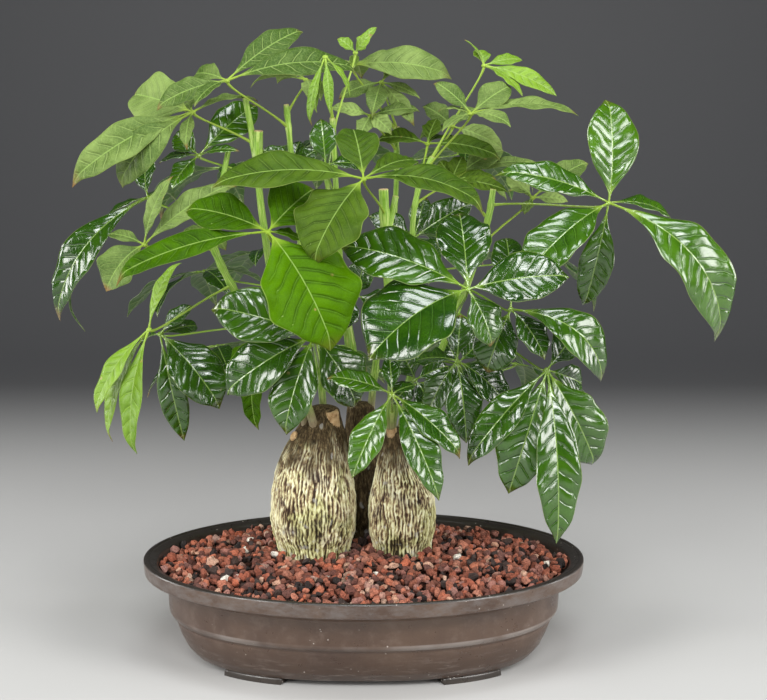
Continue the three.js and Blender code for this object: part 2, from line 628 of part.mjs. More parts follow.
function leaflet(hub, faces, [dx, dy, dz, width, arch = BLADE_ARCH, frontShare = 0]) {
  const reach = vec(dx, dy, dz);
  const along = reach.clone().normalize();
  const up = upperSide(along, faces, frontShare);
  const side = along.clone().cross(up);
  const middle = (t) => hub.clone().addScaledVector(reach, t)
    .addScaledVector(up, arch * reach.length() * 4 * t * (1 - t));
  const section = (t, half, fold, thickness) => {
    const ahead = middle(t + 0.01).sub(middle(t - 0.01));
    const lift = side.clone().cross(ahead).normalize();
    const edge = (way) => middle(t).addScaledVector(side, way * half).addScaledVector(lift, fold * half);
    const face = (way) => middle(t).addScaledVector(lift, (way * thickness) / 2);
    return [edge(1), face(1), edge(-1), face(-1)];
  };
  const root = section(HUB_START / reach.length(), BLADE_ROOT[0], 0, BLADE_ROOT[1] * 2);
  const stations = width < LONG_BLADE_WIDTH ? SHORT_BLADE : LONG_BLADE;
  const blade = stations.map(([t, share]) =>
    section(t, (share * width) / 2, BLADE_FOLD, BLADE_THICKNESS));
  return solid(loft([root, ...blade, [middle(1)]]));
}

// The leaf's stalk, from the shoot's middle line, up and over to the hub.
function petiole(leaf) {
  const start = shootPoint(leaf.shoot, leaf.height);
  const hub = vec(...leaf.hub);
  const span = hub.distanceTo(start);
  const rise = start.clone().lerp(hub, 0.4).add(vec(0, 0, span * PETIOLE_RISE));
  const below = hub.clone().addScaledVector(vec(...leaf.faces).normalize(), -PETIOLE_DROP * span);
  const curve = new THREE.CubicBezierCurve3(start, rise, below, hub);
  return bar(curve, PETIOLE_RADIUS, PETIOLE_RADIUS * PETIOLE_TAPER, PETIOLE_SIDES, PETIOLE_STEPS);
}

// What a leaf keeps clear of: its shoot, grown by the gap.
const shootSpace = {};
for (const name of Object.keys(SHOOTS)) shootSpace[name] = makeShoot(name, GAP);

function makeLeaf(leaf) {
  const hub = vec(...leaf.hub);
  const faces = vec(...leaf.faces).normalize();
  const knob = new THREE.OctahedronGeometry(HUB_RADIUS).translate(...leaf.hub);
  const blades = leaf.leaflets.map((row) => leaflet(hub, faces, row));
  const whole = fuse([petiole(leaf), solid(knob), ...blades]);
  return largest(whole.subtract(shootSpace[leaf.shoot])).simplify(TIDY);
}

// ---------------------------------------------------------------- the whole plant

const finish = (color, roughness) => new THREE.MeshStandardMaterial({ color, roughness, metalness: 0 });
const LEAF_TONES = { light: 0x6fa03a, mid: 0x3f8a30, vivid: 0x58a51c, dark: 0x1f6420, new: 0x96c833 };

const plant = new THREE.Group();
function place(name, body, color, roughness) {
  const mesh = new THREE.Mesh(geometryOf(body), finish(color, roughness));
  mesh.name = name;
  plant.add(mesh);
}

place('pot', makePot(), 0x554a44, 0.55);
place('gravel_bed', makeBed(Object.values(TRUNKS)), 0x8a4738, 0.95);

const shootNames = Object.keys(SHOOTS);
for (const [name, trunk] of Object.entries(TRUNKS)) {
  let body = makeTrunk(trunk);
  for (const shoot of shootNames) body = body.subtract(shootSpace[shoot]);
  place(name, largest(body).simplify(TIDY), 0xb7ad86, 0.9);
}
for (const name of shootNames) place(name, makeShoot(name, 0).simplify(TIDY), 0x7c9a4c, 0.6);
for (const [name, leaf] of Object.entries(LEAVES)) place(name, makeLeaf(leaf), LEAF_TONES[leaf.tone], 0.4);

// The origin is the middle of the whole outline, on the surface that the feet stand on.
const outline = new THREE.Box3().setFromObject(plant);
const middle = outline.getCenter(vec(0, 0, 0));
plant.position.set(-middle.x, -middle.y, -outline.min.z);
plant.updateMatrixWorld(true);

export default plant;
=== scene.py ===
"""The looks of a potted money tree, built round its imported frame.

The plant's sizes are in millimetres from the pot's middle, with +Z up and the front towards -Y.
to_row() turns them into metres in the row's frame, which Blender uses.
"""
import math
from collections import namedtuple

import bmesh
import bpy
import numpy as np
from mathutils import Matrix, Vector


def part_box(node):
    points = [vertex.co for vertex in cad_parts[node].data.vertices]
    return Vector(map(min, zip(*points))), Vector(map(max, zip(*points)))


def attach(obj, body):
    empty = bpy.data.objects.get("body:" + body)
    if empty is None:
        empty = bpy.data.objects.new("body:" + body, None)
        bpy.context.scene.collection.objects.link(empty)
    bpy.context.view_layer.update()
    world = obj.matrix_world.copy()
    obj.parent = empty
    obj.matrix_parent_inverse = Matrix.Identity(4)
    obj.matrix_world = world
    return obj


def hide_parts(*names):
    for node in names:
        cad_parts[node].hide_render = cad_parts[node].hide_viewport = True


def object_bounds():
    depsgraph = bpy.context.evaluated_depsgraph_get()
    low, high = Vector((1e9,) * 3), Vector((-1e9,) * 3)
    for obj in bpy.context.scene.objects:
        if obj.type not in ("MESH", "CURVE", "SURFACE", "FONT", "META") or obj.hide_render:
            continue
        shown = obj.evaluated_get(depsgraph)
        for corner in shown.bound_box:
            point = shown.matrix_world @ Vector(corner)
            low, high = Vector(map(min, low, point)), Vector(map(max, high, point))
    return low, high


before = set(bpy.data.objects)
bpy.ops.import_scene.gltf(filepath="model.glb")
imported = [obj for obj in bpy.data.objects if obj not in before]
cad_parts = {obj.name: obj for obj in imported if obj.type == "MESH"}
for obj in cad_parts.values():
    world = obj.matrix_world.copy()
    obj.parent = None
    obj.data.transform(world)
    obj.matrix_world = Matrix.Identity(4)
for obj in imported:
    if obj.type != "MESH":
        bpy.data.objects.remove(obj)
cad_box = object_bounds()
pot_low, pot_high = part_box("pot")
POT_MIDDLE = np.array([(pot_low.x + pot_high.x) / 2, (pot_low.y + pot_high.y) / 2, 0.0])
MM = 0.001
SEED = 20417


def to_row(points):
    return np.asarray(points, float) * MM + POT_MIDDLE


# ---------------------------------------------------------------- camera and studio

CAMERA_PLACE = (18, -1215, 442)
CAMERA_PITCH = 7.83  # degrees down
CAMERA_LENS = 64.3
SENSOR_WIDTH = 36


def make_camera():
    data = bpy.data.cameras.new("view")
    data.lens = CAMERA_LENS
    data.sensor_width = SENSOR_WIDTH
    data.sensor_fit = "HORIZONTAL"
    camera = bpy.data.objects.new("view", data)
    camera.location = Vector(to_row(CAMERA_PLACE))
    camera.rotation_euler = (math.radians(90 - CAMERA_PITCH), 0, 0)
    bpy.context.scene.collection.objects.link(camera)
    bpy.context.scene.camera = camera


# Each soft light: its place and what it looks at, in metres, its width and height, power and colour.
LIGHTS = {
    "left": ((-1.35, -1.2, 0.85), (0.0, 0.0, 0.22), 0.62, 1.3, 29, (1.0, 0.99, 0.97)),
    "right": ((1.35, -1.1, 0.85), (0.0, 0.0, 0.22), 0.62, 1.3, 28, (1.0, 0.99, 0.97)),
    "left_edge": ((-1.7, 0.25, 0.4), (0.0, 0.0, 0.08), 0.4, 0.9, 12, (1.0, 0.99, 0.97)),
    "right_edge": ((1.7, 0.25, 0.4), (0.0, 0.0, 0.08), 0.4, 0.9, 10, (1.0, 0.99, 0.97)),
    "above": ((0.05, -0.45, 1.75), (0.0, 0.0, 0.2), 0.8, 0.5, 13, (0.95, 0.98, 1.0)),
    "front": ((0.1, -1.95, 1.6), (0.0, 0.0, 0.25), 1.0, 0.5, 25, (0.97, 0.99, 1.0)),
}


def make_lights():
    for name, (place, target, width, height, power, colour) in LIGHTS.items():
        data = bpy.data.lights.new(name, "AREA")
        data.shape = "RECTANGLE"
        data.size = width
        data.size_y = height
        data.energy = power
        data.color = colour
        light = bpy.data.objects.new(name, data)
        light.location = place
        aim = Vector(target) - Vector(place)
        light.rotation_euler = aim.to_track_quat("-Z", "Y").to_euler()
        bpy.context.scene.collection.objects.link(light)


SKY_COLOUR = (0.8, 0.83, 0.88, 1)
SKY_STRENGTH = 0.06


def make_sky():
    world = bpy.data.worlds.new("studio")
    world.use_nodes = True
    sky = world.node_tree.nodes["Background"]
    sky.inputs["Color"].default_value = SKY_COLOUR
    sky.inputs["Strength"].default_value = SKY_STRENGTH
    bpy.context.scene.world = world
    bpy.context.scene.view_settings.view_transform = "Standard"


# ---------------------------------------------------------------- numbers, noise and curves

DRAW_FACTOR = 1664525
DRAW_STEP = 1013904223
DRAW_RANGE = 4294967296
CELL_FACTORS = (73856093, 19349663, 83492791)  # large primes, which scatter the codes of a noise's cells
SEED_FACTOR = 39916801
SCATTER_FACTOR = 1274126177
NOISE_GAIN = 1.5


def make_draw(seed):
    """Numbers from 0 to 1 that come out the same as in the part's source."""
    state = seed

    def draw():
        nonlocal state
        state = (state * DRAW_FACTOR + DRAW_STEP) % DRAW_RANGE
        return state / DRAW_RANGE

    return draw


def noise(points, seed=0):
    """Smooth noise of about -1 to 1 at each row of points, with a grain of one unit."""
    cell = np.floor(points).astype(np.int64)
    part = points - cell
    ease = part ** 3 * (part * (part * 6 - 15) + 10)
    total = np.zeros(len(points))
    for corner in np.ndindex(2, 2, 2):
        at = (cell + corner) * CELL_FACTORS
        code = at[:, 0] ^ at[:, 1] ^ at[:, 2] ^ (seed + 1) * SEED_FACTOR
        code = (code ^ (code >> 13)) & 0xFFFFFFFF
        code = (code * SCATTER_FACTOR) & 0xFFFFFFFFFF
        code = (code >> 7) ^ code
        weight = np.ones(len(points))
        slope = np.zeros(len(points))
        for axis in range(3):
            pull = ((code >> (10 * axis)) & 1023) / 511.5 - 1  # ten bits of the code, as -1 to 1
            slope += pull * (part[:, axis] - corner[axis])
            weight *= ease[:, axis] if corner[axis] else 1 - ease[:, axis]
        total += weight * slope
    return total * NOISE_GAIN


def layered(points, seed, layers=3):
    """Noise with finer layers on it."""
    return sum(noise(points * 2 ** k, seed + k) / 2 ** k for k in range(layers))


def smooth_step(low, high, value):
    share = np.clip((value - low) / (high - low), 0, 1)
    return share * share * (3 - 2 * share)


def smooth_line(stations, t):
    """The values at t of a smooth line through the stations that rises and falls only as they do."""
    x, y = np.array(stations, float).T
    step = np.diff(x)
    rise = np.diff(y) / step
    slope = np.concatenate([rise[:1], np.zeros(len(x) - 2), rise[-1:]])
    near = 2 * step[1:] + step[:-1]
    far = step[1:] + 2 * step[:-1]
    same = rise[:-1] * rise[1:] > 0
    slope[1:-1][same] = ((near + far) / (near / np.where(same, rise[:-1], 1)
                                         + far / np.where(same, rise[1:], 1)))[same]
    k = np.clip(np.searchsorted(x, t, side="right") - 1, 0, len(step) - 1)
    s = np.clip((t - x[k]) / step[k], 0, 1)
    return (y[k] * (1 + 2 * s) * (1 - s) ** 2 + y[k + 1] * s * s * (3 - 2 * s)
            + step[k] * s * (1 - s) * (slope[k] * (1 - s) - slope[k + 1] * s))


def curve_through(points, count):
    """count points on a smooth curve through the points, evenly spaced in the curve's own measure."""
    p = np.array(points, float)
    p = np.vstack([2 * p[0] - p[1], p, 2 * p[-1] - p[-2]])
    at = np.linspace(0, len(points) - 1, count)
    k = np.minimum(at.astype(int), len(points) - 2)
    t = (at - k)[:, None]
    a, b, c, d = p[k], p[k + 1], p[k + 2], p[k + 3]
    return 0.5 * (2 * b + (c - a) * t + (2 * a - 5 * b + 4 * c - d) * t ** 2
                  + (3 * b - a - 3 * c + d) * t ** 3)


def unit(vector):
    vector = np.asarray(vector, float)
    return vector / np.linalg.norm(vector, axis=-1, keepdims=True)


def whole_turn(count):
    """count even angles round a circle."""
    return np.arange(count) / count * 2 * math.pi


def at_height(x, y, height):
    """Points of a level line."""
    return np.stack([x, y, np.full(len(x), height)], axis=-1)


# ---------------------------------------------------------------- meshes

class Skin:
    """Vertices and faces of one piece, with named values on each vertex."""

    def __init__(self):
        self.points = []
        self.quads = []
        self.triangles = []
        self.values = {}
        self.count = 0

    def add(self, points, faces, values):
        """Adds points with faces of 3 or 4 corners. values gives a row of numbers per point for each name."""
        faces = np.asarray(faces) + self.count
        (self.quads if faces.shape[1] == 4 else self.triangles).append(faces)
        self.points.append(points)
        for name, rows in values.items():
            rows = np.broadcast_to(np.asarray(rows, float), (len(points), np.shape(rows)[-1]))
            self.values.setdefault(name, []).append(rows)
        self.count += len(points)

    def add_loft(self, rings, values, start=True, end=True):
        """A skin over closed rings, an array of rings by corners by 3, closed at the ends by fans."""
        rows, corners = rings.shape[:2]
        flat = rings.reshape(-1, 3)
        at = np.arange(rows * corners).reshape(rows, corners)
        a = at[:-1]
        b = at[1:]
        faces = np.stack([a, np.roll(a, -1, 1), np.roll(b, -1, 1), b], axis=-1).reshape(-1, 4)
        flat_values = {}
        for name, value in values.items():
            value = np.asarray(value, float)
            wide = np.broadcast_to(value, (rows, corners, value.shape[-1]))
            flat_values[name] = wide.reshape(-1, value.shape[-1])
        first = self.count
        self.add(flat, faces, flat_values)
        for wanted, row, way in ((start, 0, -1), (end, rows - 1, 1)):
            if wanted:
                self.close(first + at[row][::way], flat[at[row]].mean(0),
                           {name: value[at[row]].mean(0) for name, value in flat_values.items()})

    def close(self, corners, middle, values):
        """A fan of triangles from a ring of corners to their middle."""
        centre = self.count
        self.points.append(middle[None])
        for name, row in values.items():
            self.values[name].append(row[None])
        self.count += 1
        fan = np.stack([corners, np.roll(corners, -1), np.full(len(corners), centre)], axis=-1)
        self.triangles.append(fan)


def make_piece(name, skin, material, nodes=(), smooth=True):
    """A mesh object of a skin in millimetres, which rides on the body and replaces CAD nodes."""
    points = np.clip(to_row(np.concatenate(skin.points)), *cad_box)
    quads = np.concatenate(skin.quads) if skin.quads else np.zeros((0, 4), int)
    triangles = np.concatenate(skin.triangles) if skin.triangles else np.zeros((0, 3), int)
    mesh = bpy.data.meshes.new(name)
    mesh.vertices.add(len(points))
    mesh.vertices.foreach_set("co", points.astype(np.float32).ravel())
    mesh.loops.add(quads.size + triangles.size)
    corners = np.concatenate([quads.ravel(), triangles.ravel()])
    mesh.loops.foreach_set("vertex_index", corners.astype(np.int32))
    mesh.polygons.add(len(quads) + len(triangles))
    sizes = np.concatenate([np.full(len(quads), 4), np.full(len(triangles), 3)])
    mesh.polygons.foreach_set("loop_start", (np.cumsum(sizes) - sizes).astype(np.int32))
    mesh.polygons.foreach_set("use_smooth", np.full(len(sizes), smooth))
    mesh.update(calc_edges=True)
    mesh.validate()
    for value_name, rows in skin.values.items():
        rows = np.concatenate(rows).astype(np.float32)
        kind, field = ("FLOAT_VECTOR", "vector") if rows.shape[1] == 3 else ("FLOAT_COLOR", "color")
        mesh.attributes.new(value_name, kind, "POINT").data.foreach_set(field, rows.ravel())
    mesh.materials.append(material)
    piece = bpy.data.objects.new(name, mesh)
    bpy.context.scene.collection.objects.link(piece)
    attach(piece, "root")
    if nodes:
        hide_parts(*nodes)


def tube(points, radii, sides):
    """Rings round a line of points, turned as little as possible from one to the next."""
    along = unit(np.gradient(points, axis=0))
    across = np.cross(along[0], [0, 0, 1.0])
    if np.linalg.norm(across) < 0.2:
        across = np.cross(along[0], [0, 1.0, 0])
    angles = whole_turn(sides)
    rings = []
    for point, way, radius in zip(points, along, np.broadcast_to(radii, len(points))):
        across = unit(across - way * (across @ way))
        other = np.cross(way, across)
        ring = np.cos(angles)[:, None] * across + np.sin(angles)[:, None] * other
        rings.append(point + radius * ring)
    return np.array(rings)


# ---------------------------------------------------------------- material helpers

class Paint:
    """A material's nodes, with short ways to make and join them."""

    def __init__(self, name):
        self.material = bpy.data.materials.new(name)
        self.material.use_nodes = True
        self.tree = self.material.node_tree
        self.shader = self.tree.nodes["Principled BSDF"]

    def node(self, kind, **settings):
        made = self.tree.nodes.new(kind)
        for key, value in settings.items():
            setattr(made, key, value)
        return made

    def link(self, source, target):
        self.tree.links.new(source, target)

    def put(self, socket, value):
        if isinstance(value, bpy.types.NodeSocket):
            self.link(value, socket)
        elif isinstance(value, (tuple, list)) and len(value) == 3 and socket.type == "RGBA":
            socket.default_value = (*value, 1)
        else:
            socket.default_value = value

    def set(self, **inputs):
        for key, value in inputs.items():
            self.put(self.shader.inputs[key.replace("_", " ")], value)

    def math(self, operation, a, b=0.0, clamp=False):
        made = self.node("ShaderNodeMath", operation=operation, use_clamp=clamp)
        self.put(made.inputs[0], a)
        self.put(made.inputs[1], b)
        return made.outputs[0]

    def times(self, a, b):
        return self.math("MULTIPLY", a, b)

    def plus(self, a, b):
        return self.math("ADD", a, b)

    def minus(self, a, b):
        return self.math("SUBTRACT", a, b)

    def step(self, value, low, high, to_low=0.0, to_high=1.0):
        made = self.node("ShaderNodeMapRange", interpolation_type="SMOOTHSTEP")
        for socket, number in zip(made.inputs[:5], (value, low, high, to_low, to_high)):
            self.put(socket, number)
        return made.outputs[0]

    def mix(self, share, a, b, blend="MIX"):
        made = self.node("ShaderNodeMix", data_type="RGBA", blend_type=blend)
        self.put(made.inputs[0], share)
        self.put(made.inputs[6], a)
        self.put(made.inputs[7], b)
        return made.outputs[2]

    def place(self, scale=(1, 1, 1)):
        """The surface's place in metres, stretched by scale."""
        where = self.node("ShaderNodeTexCoord").outputs["Object"]
        stretch = self.node("ShaderNodeMapping")
        self.link(where, stretch.inputs[0])
        stretch.inputs["Scale"].default_value = scale
        return stretch.outputs[0]

    def grain(self, scale, detail=3.0, roughness=0.55, at=None):
        made = self.node("ShaderNodeTexNoise")
        self.put(made.inputs["Vector"], at or self.place())
        made.inputs["Scale"].default_value = scale
        made.inputs["Detail"].default_value = detail
        made.inputs["Roughness"].default_value = roughness
        return made.outputs[0]

    def cells(self, scale, feature="F1"):
        made = self.node("ShaderNodeTexVoronoi", feature=feature)
        self.put(made.inputs["Vector"], self.place())
        made.inputs["Scale"].default_value = scale
        return made.outputs["Distance"]

    def ramp(self, value, stops, interpolation="LINEAR"):
        made = self.node("ShaderNodeValToRGB")
        made.color_ramp.interpolation = interpolation
        elements = made.color_ramp.elements
        while len(elements) < len(stops):
            elements.new(0.5)
        for element, (place, colour) in zip(elements, stops):
            element.position = place
            element.color = (*colour, 1)
        self.put(made.inputs[0], value)
        return made.outputs[0]

    def parts(self, vector):
        made = self.node("ShaderNodeSeparateXYZ")
        self.link(vector, made.inputs[0])
        return made.outputs

    def value(self, name):
        """A vertex value of three or four numbers: its parts, one after the other, and its alpha."""
        read = self.node("ShaderNodeAttribute", attribute_name=name)
        return (*self.parts(read.outputs["Vector"]), read.outputs["Alpha"])

    def bump(self, height, strength, distance, under=None):
        made = self.node("ShaderNodeBump")
        made.inputs["Strength"].default_value = strength
        made.inputs["Distance"].default_value = distance
        self.link(height, made.inputs["Height"])
        if under is not None:
            self.link(under, made.inputs["Normal"])
        return made.outputs[0]


# ---------------------------------------------------------------- floor

FLOOR_COLOUR = (0.50, 0.495, 0.485)
WALL_COLOUR = (0.10, 0.101, 0.106)
FLOOR_HALF_WIDTH = 4000
FLOOR_FRONT = -2600
WALL_FOOT = 1500
WALL_BEND = 900
WALL_TOP = 3000
WALL_BEND_STEPS = 24
BACK_FADE = (0.35, 1.7)  # metres back and up over which the floor turns into the wall's colour
RISE_FADE = (0.0, 0.5)


def make_floor():
    paint = Paint("studio_floor")
    _, back, up = paint.parts(paint.place())
    rise = paint.math("MAXIMUM", paint.step(back, *BACK_FADE), paint.step(up, *RISE_FADE))
    paint.set(Base_Color=paint.mix(rise, FLOOR_COLOUR, WALL_COLOUR), Roughness=0.8)
    angles = np.linspace(0, math.pi / 2, WALL_BEND_STEPS)
    bend = [(WALL_FOOT + WALL_BEND * math.sin(a), WALL_BEND * (1 - math.cos(a))) for a in angles]
    line = [(FLOOR_FRONT, 0), *bend, (WALL_FOOT + WALL_BEND, WALL_TOP)]
    points = to_row([(x, y, z) for y, z in line for x in (-FLOOR_HALF_WIDTH, FLOOR_HALF_WIDTH)])
    faces = [(2 * k, 2 * k + 1, 2 * k + 3, 2 * k + 2) for k in range(len(line) - 1)]
    mesh = bpy.data.meshes.new("studio_floor")
    mesh.from_pydata(points.tolist(), [], faces)
    for face in mesh.polygons:
        face.use_smooth = True
    mesh.materials.append(paint.material)
    floor = bpy.data.objects.new("studio_floor", mesh)
    bpy.context.scene.collection.objects.link(floor)


# ---------------------------------------------------------------- pot

RIM_HALF_LENGTH = 200
RIM_HALF_DEPTH = 149
POT_HEIGHT = 88
POT_SIDES = 216
FOOT_HEIGHT = 4
FOOT_SINK = 1.6
FOOT_WIDTH = 13
FOOT_INSET = 45
FOOT_ANGLES = (55, 125, 235, 305)
FOOT_SPAN = 25  # degrees
FOOT_STEPS = 14
FOOT_SHAPE = ((0, 0.99), (0.4, 1), (FOOT_HEIGHT, 0.985), (FOOT_HEIGHT + FOOT_SINK, 0.97))  # height, share
# The feet get nearly the full painted shade of the pot's inside.
FOOT_MARKS = (0.4, 0.9, 0, 0)  # what the paint reads on a foot: nearly as dark as the pot's inside
BASE_SQUARE = 2.4
FLOOR_INSET = 50
FLOOR_TOP = 7.4
FLOOR_UNDERSIDE = 4
DRAIN_PLACE = 75
DRAIN_RADIUS = 7
SEAM_POINTS = 14  # on the line between the floor's two halves
CORNER_ROUNDING = 1.6
MOST_ROUNDING = 0.45  # of the line's piece on each side of a corner
# Where the paint differs, by height and by how far at most from the rim's outline: the rim's dusty band, and
# the ledge's band with its painted highlight.
RIM_BAND = (73, 87)
RIM_BAND_INSET = 3
LEDGE_HIGHLIGHT_BAND = (39, 44.5)
LEDGE_HIGHLIGHT_INSET = 26

# The pot's section from its underside, out, over the rim and down inside to its floor: height, inset from
# the rim's outline, how square the oval is. The floor's middle with the drain holes is made by add_floor.
POT_SECTION = [
    (FLOOR_UNDERSIDE, FLOOR_INSET, BASE_SQUARE), (6, 45, 2.4), (14, 38, 2.35), (24, 33, 2.3),
    (34, 29.2, 2.25), (36.5, 28.6, 2.2), (38.6, 26.6, 2.2), (40.4, 24.2, 2.15), (42.4, 23.0, 2.15),
    (45, 22.9, 2.15), (66, 21.6, 2.07), (76.5, 9.5, 2), (82, 9, 2), (82.5, 5, 2), (75, 4.4, 2),
    (74.5, 1.2, 2), (86.8, 0, 2), (POT_HEIGHT, 1.6, 2), (POT_HEIGHT, 3.6, 2), (86.6, 4.6, 2), (87, 6, 2),
    (84.5, 12.5, 2), (78.5, 14.2, 2), (70, 25.6, 2.05), (38, 31, 2.2), (13, 42, 2.35),
    (FLOOR_TOP, FLOOR_INSET, BASE_SQUARE),
]
POT_DEEP = (0.044, 0.020, 0.011)
POT_BROWN = (0.086, 0.048, 0.029)
POT_DUST = (0.145, 0.100, 0.076)
# Painted shade towards the pot's bottom.
POT_LOW_SHADE = (0.044, 0.022, 0.012)
POT_RIM_DUST = (0.140, 0.122, 0.114)
# Painted highlight along the ledge.
POT_LEDGE_HIGHLIGHT = (0.34, 0.31, 0.29)
# Painted shade for the pot's inside, its floor's top and its feet, and painted dark reflection on the rim's
# top.
POT_INSIDE_SHADE = (0.026, 0.021, 0.017)
POT_SCUFF = (0.30, 0.25, 0.22)
POT_SPECK = (0.55, 0.5, 0.45)


def oval(inset, square, angles):
    """Points of the pot's oval. A square of 2 is a plain ellipse, and a larger one has fuller corners."""
    c = np.cos(angles)
    s = np.sin(angles)
    x = (RIM_HALF_LENGTH - inset) * np.sign(c) * np.abs(c) ** (2 / square)
    y = (RIM_HALF_DEPTH - inset) * np.sign(s) * np.abs(s) ** (2 / square)
    return x, y


def soften(line, size):
    """The line with each corner replaced by a short curve."""
    line = np.array(line, float)
    out = [line[0]]
    for before, corner, after in zip(line, line[1:], line[2:]):
        back = before[:2] - corner[:2]
        ahead = after[:2] - corner[:2]
        start = corner + (before - corner) * min(MOST_ROUNDING, size / np.linalg.norm(back))
        end = corner + (after - corner) * min(MOST_ROUNDING, size / np.linalg.norm(ahead))
        for t in (0, 0.33, 0.67, 1):
            out.append((1 - t) ** 2 * start + 2 * t * (1 - t) * corner + t * t * end)
    out.append(line[-1])
    return np.array(out)


def pot_paint():
    paint = Paint("pot_plastic")
    height, top, rim, highlight_band = paint.value("pot")
    cloud = paint.grain(14, 5, 0.6)
    dust = paint.grain(70, 6, 0.7)
    base = paint.ramp(cloud, [(0.3, POT_DEEP), (0.62, POT_BROWN)])
    dusty = paint.mix(paint.step(dust, 0.48, 0.75, 0, 0.5), base, POT_DUST)
    brushed = paint.grain(1, 6, 0.75, at=paint.place((60, 60, 150)))
    # Painted shade: the wall darkens towards the bottom.
    lower = paint.mix(paint.step(height, 0.5, 0.12, 0, 0.6), dusty, POT_LOW_SHADE)
    band = paint.mix(paint.times(rim, paint.step(brushed, 0.36, 0.7, 0.0, 0.7)), lower, POT_RIM_DUST)
    # Painted highlight along the ledge's rounded edge, broken up by noise.
    ledge_highlight = paint.times(highlight_band, paint.step(paint.grain(12, 3), 0.42, 0.62, 0.05, 0.45))
    banded = paint.mix(ledge_highlight, band, POT_LEDGE_HIGHLIGHT)
    # Painted shade and painted dark reflection: the rim's top, the inside and the feet are darkened.
    inside_shaded = paint.mix(top, banded, POT_INSIDE_SHADE)
    worn = paint.grain(1, 4, 0.65, at=paint.place((45, 45, 260)))
    low = paint.times(paint.step(height, 0.5, 0.02), paint.step(worn, 0.52, 0.66))
    scuffed = paint.mix(paint.times(low, 0.35), inside_shaded, POT_SCUFF)
    speck = paint.step(paint.cells(190), 0.15, 0.08)
    chosen = paint.step(paint.grain(38, 2), 0.56, 0.64)
    specks = paint.times(speck, chosen)
    colour = paint.mix(paint.times(specks, 0.7), scuffed, POT_SPECK)
    paint.set(Base_Color=colour, Roughness=paint.step(dust, 0.3, 0.8, 0.26, 0.5), Specular_IOR_Level=0.7)
    fine = paint.grain(420, 3, 0.6)
    broad = paint.grain(26, 2)
    paint.set(Normal=paint.bump(fine, 0.22, 0.0004, paint.bump(broad, 0.15, 0.0015)))
    return paint.material


def make_pot():
    section = soften(POT_SECTION, CORNER_ROUNDING)
    angles = whole_turn(POT_SIDES)
    rings = []
    marks = []
    outermost = np.argmin(section[:, 1])
    for row, (height, inset, square) in enumerate(section):
        rings.append(at_height(*oval(inset, square, angles), height))
        on_band = inset < RIM_BAND_INSET and RIM_BAND[0] < height < RIM_BAND[1]
        on_ledge_highlight = inset < LEDGE_HIGHLIGHT_INSET and LEDGE_HIGHLIGHT_BAND[0] < height < LEDGE_HIGHLIGHT_BAND[1]
        # The second value marks the rim's top and the inside, which get painted shade.
        marks.append((height / POT_HEIGHT, row > outermost, on_band, on_ledge_highlight))
    skin = Skin()
    skin.add_loft(np.array(rings), {"pot": np.array(marks, float)[:, None]}, start=False, end=False)
    add_floor(skin)
    for middle in FOOT_ANGLES:
        add_foot(skin, middle)
    make_piece("pot_shell", skin, pot_paint(), ["pot"])


def add_floor(skin):
    """The middle of the pot's floor in two halves, each with its drain hole."""
    quarter = POT_SIDES // 4
    x, y = oval(FLOOR_INSET, BASE_SQUARE, np.arange(-quarter, quarter + 1) / POT_SIDES * 2 * math.pi)
    seam = np.linspace(y[-1], y[0], SEAM_POINTS)[1:-1]
    half = np.vstack([np.stack([x, y], -1), np.stack([0 * seam, seam], -1)])
    for way in (1, -1):
        edge = half if way > 0 else (half * (-1, 1))[::-1]
        middle = np.array([way * DRAIN_PLACE, 0])
        hole = middle + DRAIN_RADIUS * unit(edge - middle)
        rings = []
        marks = []
        # The floor's top inside the pot gets painted shade, its underside none.
        for line, height, inside in ((edge, FLOOR_TOP, 1), (hole, FLOOR_TOP, 1),
                                     (hole, FLOOR_UNDERSIDE, 0), (edge, FLOOR_UNDERSIDE, 0)):
            rings.append(at_height(*line.T, height))
            marks.append((height / POT_HEIGHT, inside, 0, 0))
        skin.add_loft(np.array(rings), {"pot": np.array(marks)[:, None]}, start=False, end=False)


def add_foot(skin, middle):
    """A curved pad with softened edges, under one corner of the pot."""
    span = np.radians(np.linspace(middle - FOOT_SPAN / 2, middle + FOOT_SPAN / 2, FOOT_STEPS))
    outer = np.stack(oval(FOOT_INSET, BASE_SQUARE, span), axis=-1)
    inner = np.stack(oval(FOOT_INSET + FOOT_WIDTH, BASE_SQUARE, span), axis=-1)
    outline = np.vstack([outer, inner[::-1]])
    centre = outline.mean(0)
    rings = []
    for height, share in FOOT_SHAPE:
        ring = centre + (outline - centre) * share
        rings.append(at_height(*ring.T, height))
    skin.add_loft(np.array(rings), {"pot": [[FOOT_MARKS]]})


# ---------------------------------------------------------------- trunks

